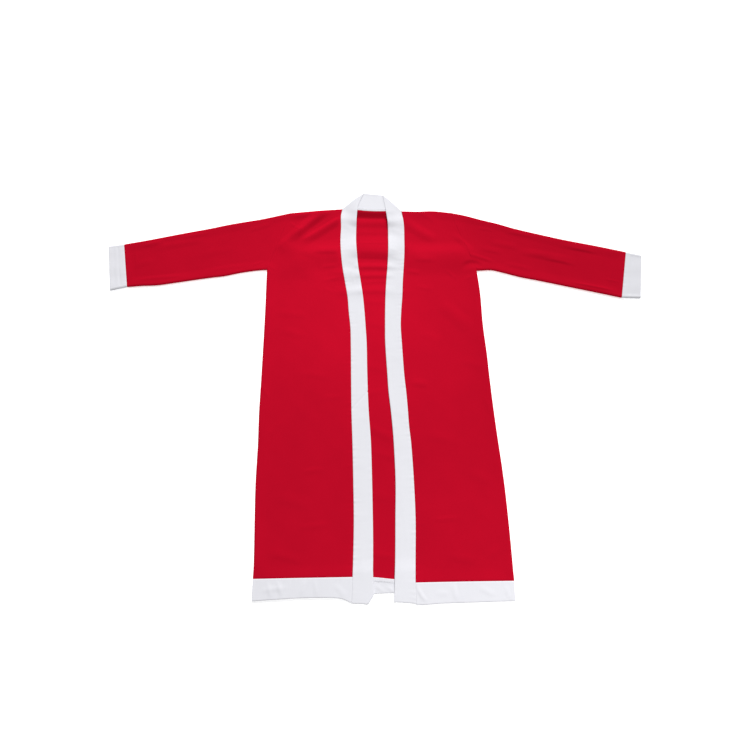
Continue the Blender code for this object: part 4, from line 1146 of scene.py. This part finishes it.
def cloth_material(name, colour, shade, lift, sheen, nap):
    """Brushed cloth: a short nap over a fine knit, with faint uneven patches and painted light that makes the
    chest lighter.
    """
    material = bpy.data.materials.new(name)
    material.use_nodes = True
    tree = material.node_tree
    place = tree.nodes.new("ShaderNodeTexCoord").outputs["Object"]

    def noise(scale, detail, stretch=(1.0, 1.0, 1.0)):
        mapping = add_node(tree, "Mapping", {"Vector": place, "Scale": stretch})
        texture = add_node(tree, "TexNoise", {"Vector": mapping.outputs["Vector"], "Scale": scale,
                                              "Detail": detail, "Roughness": NAP_DETAIL})
        return texture.outputs["Fac"]

    patches = noise(7.0, 3.0)
    grain = noise(420.0, 4.0)
    fibres = noise(260.0, 3.0, (4.0, 1.0, 1.0))
    fuzz = noise(1500.0, 2.0)
    mottle = shares_of(tree, 0.0, (patches, 0.40), (grain, 0.35), (fibres, 0.25))
    ramp = add_node(tree, "ValToRGB", {"Fac": mottle})
    dark, light = ramp.color_ramp.elements
    dark.position = 0.30
    dark.color = (*(shade * channel for channel in colour), 1.0)
    light.position = 0.70
    light.color = (*colour, 1.0)
    # Painted light: the base colour is scaled up round the chest as a painted pool of light; lift sets how
    # much
    chest = add_node(tree, "Mapping", {"Vector": place, "Scale": (1.0 / PAINTED_LIGHT_REACH, 1.0 / PAINTED_LIGHT_REACH, 0.0),
                                       "Location": (-PAINTED_LIGHT_X / PAINTED_LIGHT_REACH, -PAINTED_LIGHT_Y / PAINTED_LIGHT_REACH, 0.0)})
    near = add_node(tree, "TexGradient", {"Vector": chest.outputs["Vector"]}, gradient_type="SPHERICAL")
    painted_light_scale = add_node(tree, "MapRange", {"Value": near.outputs["Fac"], "To Min": 1.0, "To Max": 1.0 + lift},
                      interpolation_type="SMOOTHSTEP")
    base = add_node(tree, "VectorMath", {"Vector": ramp.outputs["Color"], "Scale": painted_light_scale.outputs["Result"]},
                    operation="SCALE")
    surface = shares_of(tree, 0.0, (grain, 0.5), (fibres, 0.3), (fuzz, 0.2))
    bump = add_node(tree, "Bump", {"Height": surface, "Strength": nap, "Distance": NAP_DEPTH})
    set_inputs(tree.nodes["Principled BSDF"], {
        "Base Color": base.outputs["Vector"],
        "Roughness": shares_of(tree, 0.80, (grain, 0.16)),
        "Normal": bump.outputs["Normal"],
        "Specular IOR Level": 0.0,
        "Sheen Weight": sheen,
        "Sheen Roughness": 0.45,
        "Sheen Tint": (*colour, 1.0),
    })
    return material


# Stage, light and camera

def make_floor():
    bpy.ops.mesh.primitive_plane_add(size=FLOOR_SIZE, location=(0.0, 0.0, -FLOOR_DROP))
    floor = bpy.context.object
    floor.name = "pale_floor"
    material = bpy.data.materials.new("pale_floor")
    material.use_nodes = True
    set_inputs(material.node_tree.nodes["Principled BSDF"], {
        "Base Color": FLOOR_COLOUR,
        "Roughness": 1.0,
        "Specular IOR Level": 0.0,
        "Emission Color": (1.0, 1.0, 1.0, 1.0),
        "Emission Strength": FLOOR_GLOW,
    })
    floor.data.materials.append(material)


def add_light(name, kind, energy):
    light = bpy.data.lights.new(name, kind)
    light.energy = energy
    lamp = bpy.data.objects.new(name, light)
    bpy.context.scene.collection.objects.link(lamp)
    return lamp


def make_light():
    """A broad soft key from the collar side, low enough to show the folds, and an even fill."""
    world = bpy.data.worlds.new("studio")
    world.use_nodes = True
    set_inputs(world.node_tree.nodes["Background"], {"Color": (1.0, 1.0, 1.0, 1.0), "Strength": FILL})
    bpy.context.scene.world = world
    sun = add_light("key", "SUN", KEY)
    sun.data.angle = math.radians(KEY_SOFTNESS)
    turn = math.radians(KEY_TURN)
    rise = math.radians(KEY_RISE)
    towards = Vector((math.sin(turn) * math.cos(rise), math.cos(turn) * math.cos(rise), math.sin(rise)))
    sun.rotation_euler = towards.to_track_quat("Z", "Y").to_euler()
    for lamp in LAMPS:
        box = add_light(lamp.name, "AREA", lamp.power)
        box.data.size = lamp.size
        box.location = (lamp.x, lamp.y, lamp.z)
    bpy.context.scene.view_settings.view_transform = "Standard"


def make_camera():
    """The camera looks down from below the hem side, tilted towards the collar, over a middle point."""
    tilt = math.radians(19.6)
    turn = math.radians(-1.7)
    focal_pixels = 525.0
    image_pixels = 750.0
    pixels_per_strip = 17.56
    strip_width = 0.05
    sensor_width = 36.0
    distance = strip_width * focal_pixels / pixels_per_strip
    height = distance * math.cos(tilt)
    back = -distance * math.sin(tilt)
    target = Vector((AIM_X - CENTRE_X, AIM_Y - CENTRE_Y, 0.0))
    place = target + Vector((-back * math.sin(turn), back * math.cos(turn), height))
    forward = (target - place).normalized()
    right = Vector((math.cos(turn), math.sin(turn), 0.0))
    up = right.cross(forward)
    data = bpy.data.cameras.new("camera")
    data.sensor_width = sensor_width
    data.lens = sensor_width * focal_pixels / image_pixels
    camera = bpy.data.objects.new("camera", data)
    camera.matrix_world = Matrix.Translation(place) @ Matrix((right, up, -forward)).transposed().to_4x4()
    bpy.context.scene.collection.objects.link(camera)
    bpy.context.scene.camera = camera


# The robe

def dress(piece, slot, nodes, **sheet):
    """Hide the frame's parts that a cloth piece stands in for. Its slot and its flat size are not used."""
    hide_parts(*nodes)


def make_robe():
    red = cloth_material("red_brushed_cloth", RED, 0.86, PAINTED_LIGHT_LIFT, 0.25, 0.35)
    white = cloth_material("white_brushed_cloth", WHITE, 0.94, 0.0, 0.15, 0.30)
    dress(make_back(red), "red_cloth", ["back"], flat=(0.66, 1.12), area=0.68, held="laid")
    strip = make_strip(white)
    sewing = make_sewing("trim_neck", strip, neck_seam, 1.0, NECK_FLAP, white)
    dress(strip, "white_trim", ["band_right", "band_neck", "band_left"], flat=(0.052, 2.52), held="folded",
          rests_on=["cloth_back", "trim_hem_back"], with_pieces=sewing)
    hem = make_back_hem(white)
    sewing = make_sewing("trim_hem", hem, lambda x: through(BACK_HEM_TOP, x), -1.0, HEM_FLAP, white)
    dress(hem, "white_trim", ["hem_back"], flat=(0.65, 0.05), held="folded", with_pieces=sewing)
    for half in (RIGHT, LEFT):
        dress(make_front(half, red), "red_cloth", ["front_" + half.name], flat=(0.26, 1.12), area=0.26,
              held="laid", rests_on=["cloth_back"])
        dress(make_sleeve(half, red), "red_cloth", ["sleeve_" + half.name], flat=(0.42, 0.55), area=0.19,
              held="laid")
        dress(make_cuff(half, white), "white_trim", ["cuff_" + half.name], flat=(0.30, 0.05), held="folded")
        dress(make_front_hem(half, white), "white_trim", ["hem_front_" + half.name], flat=(0.25, 0.05),
              held="folded", rests_on=["trim_hem_back"])


make_camera()
make_robe()
make_floor()
make_light()
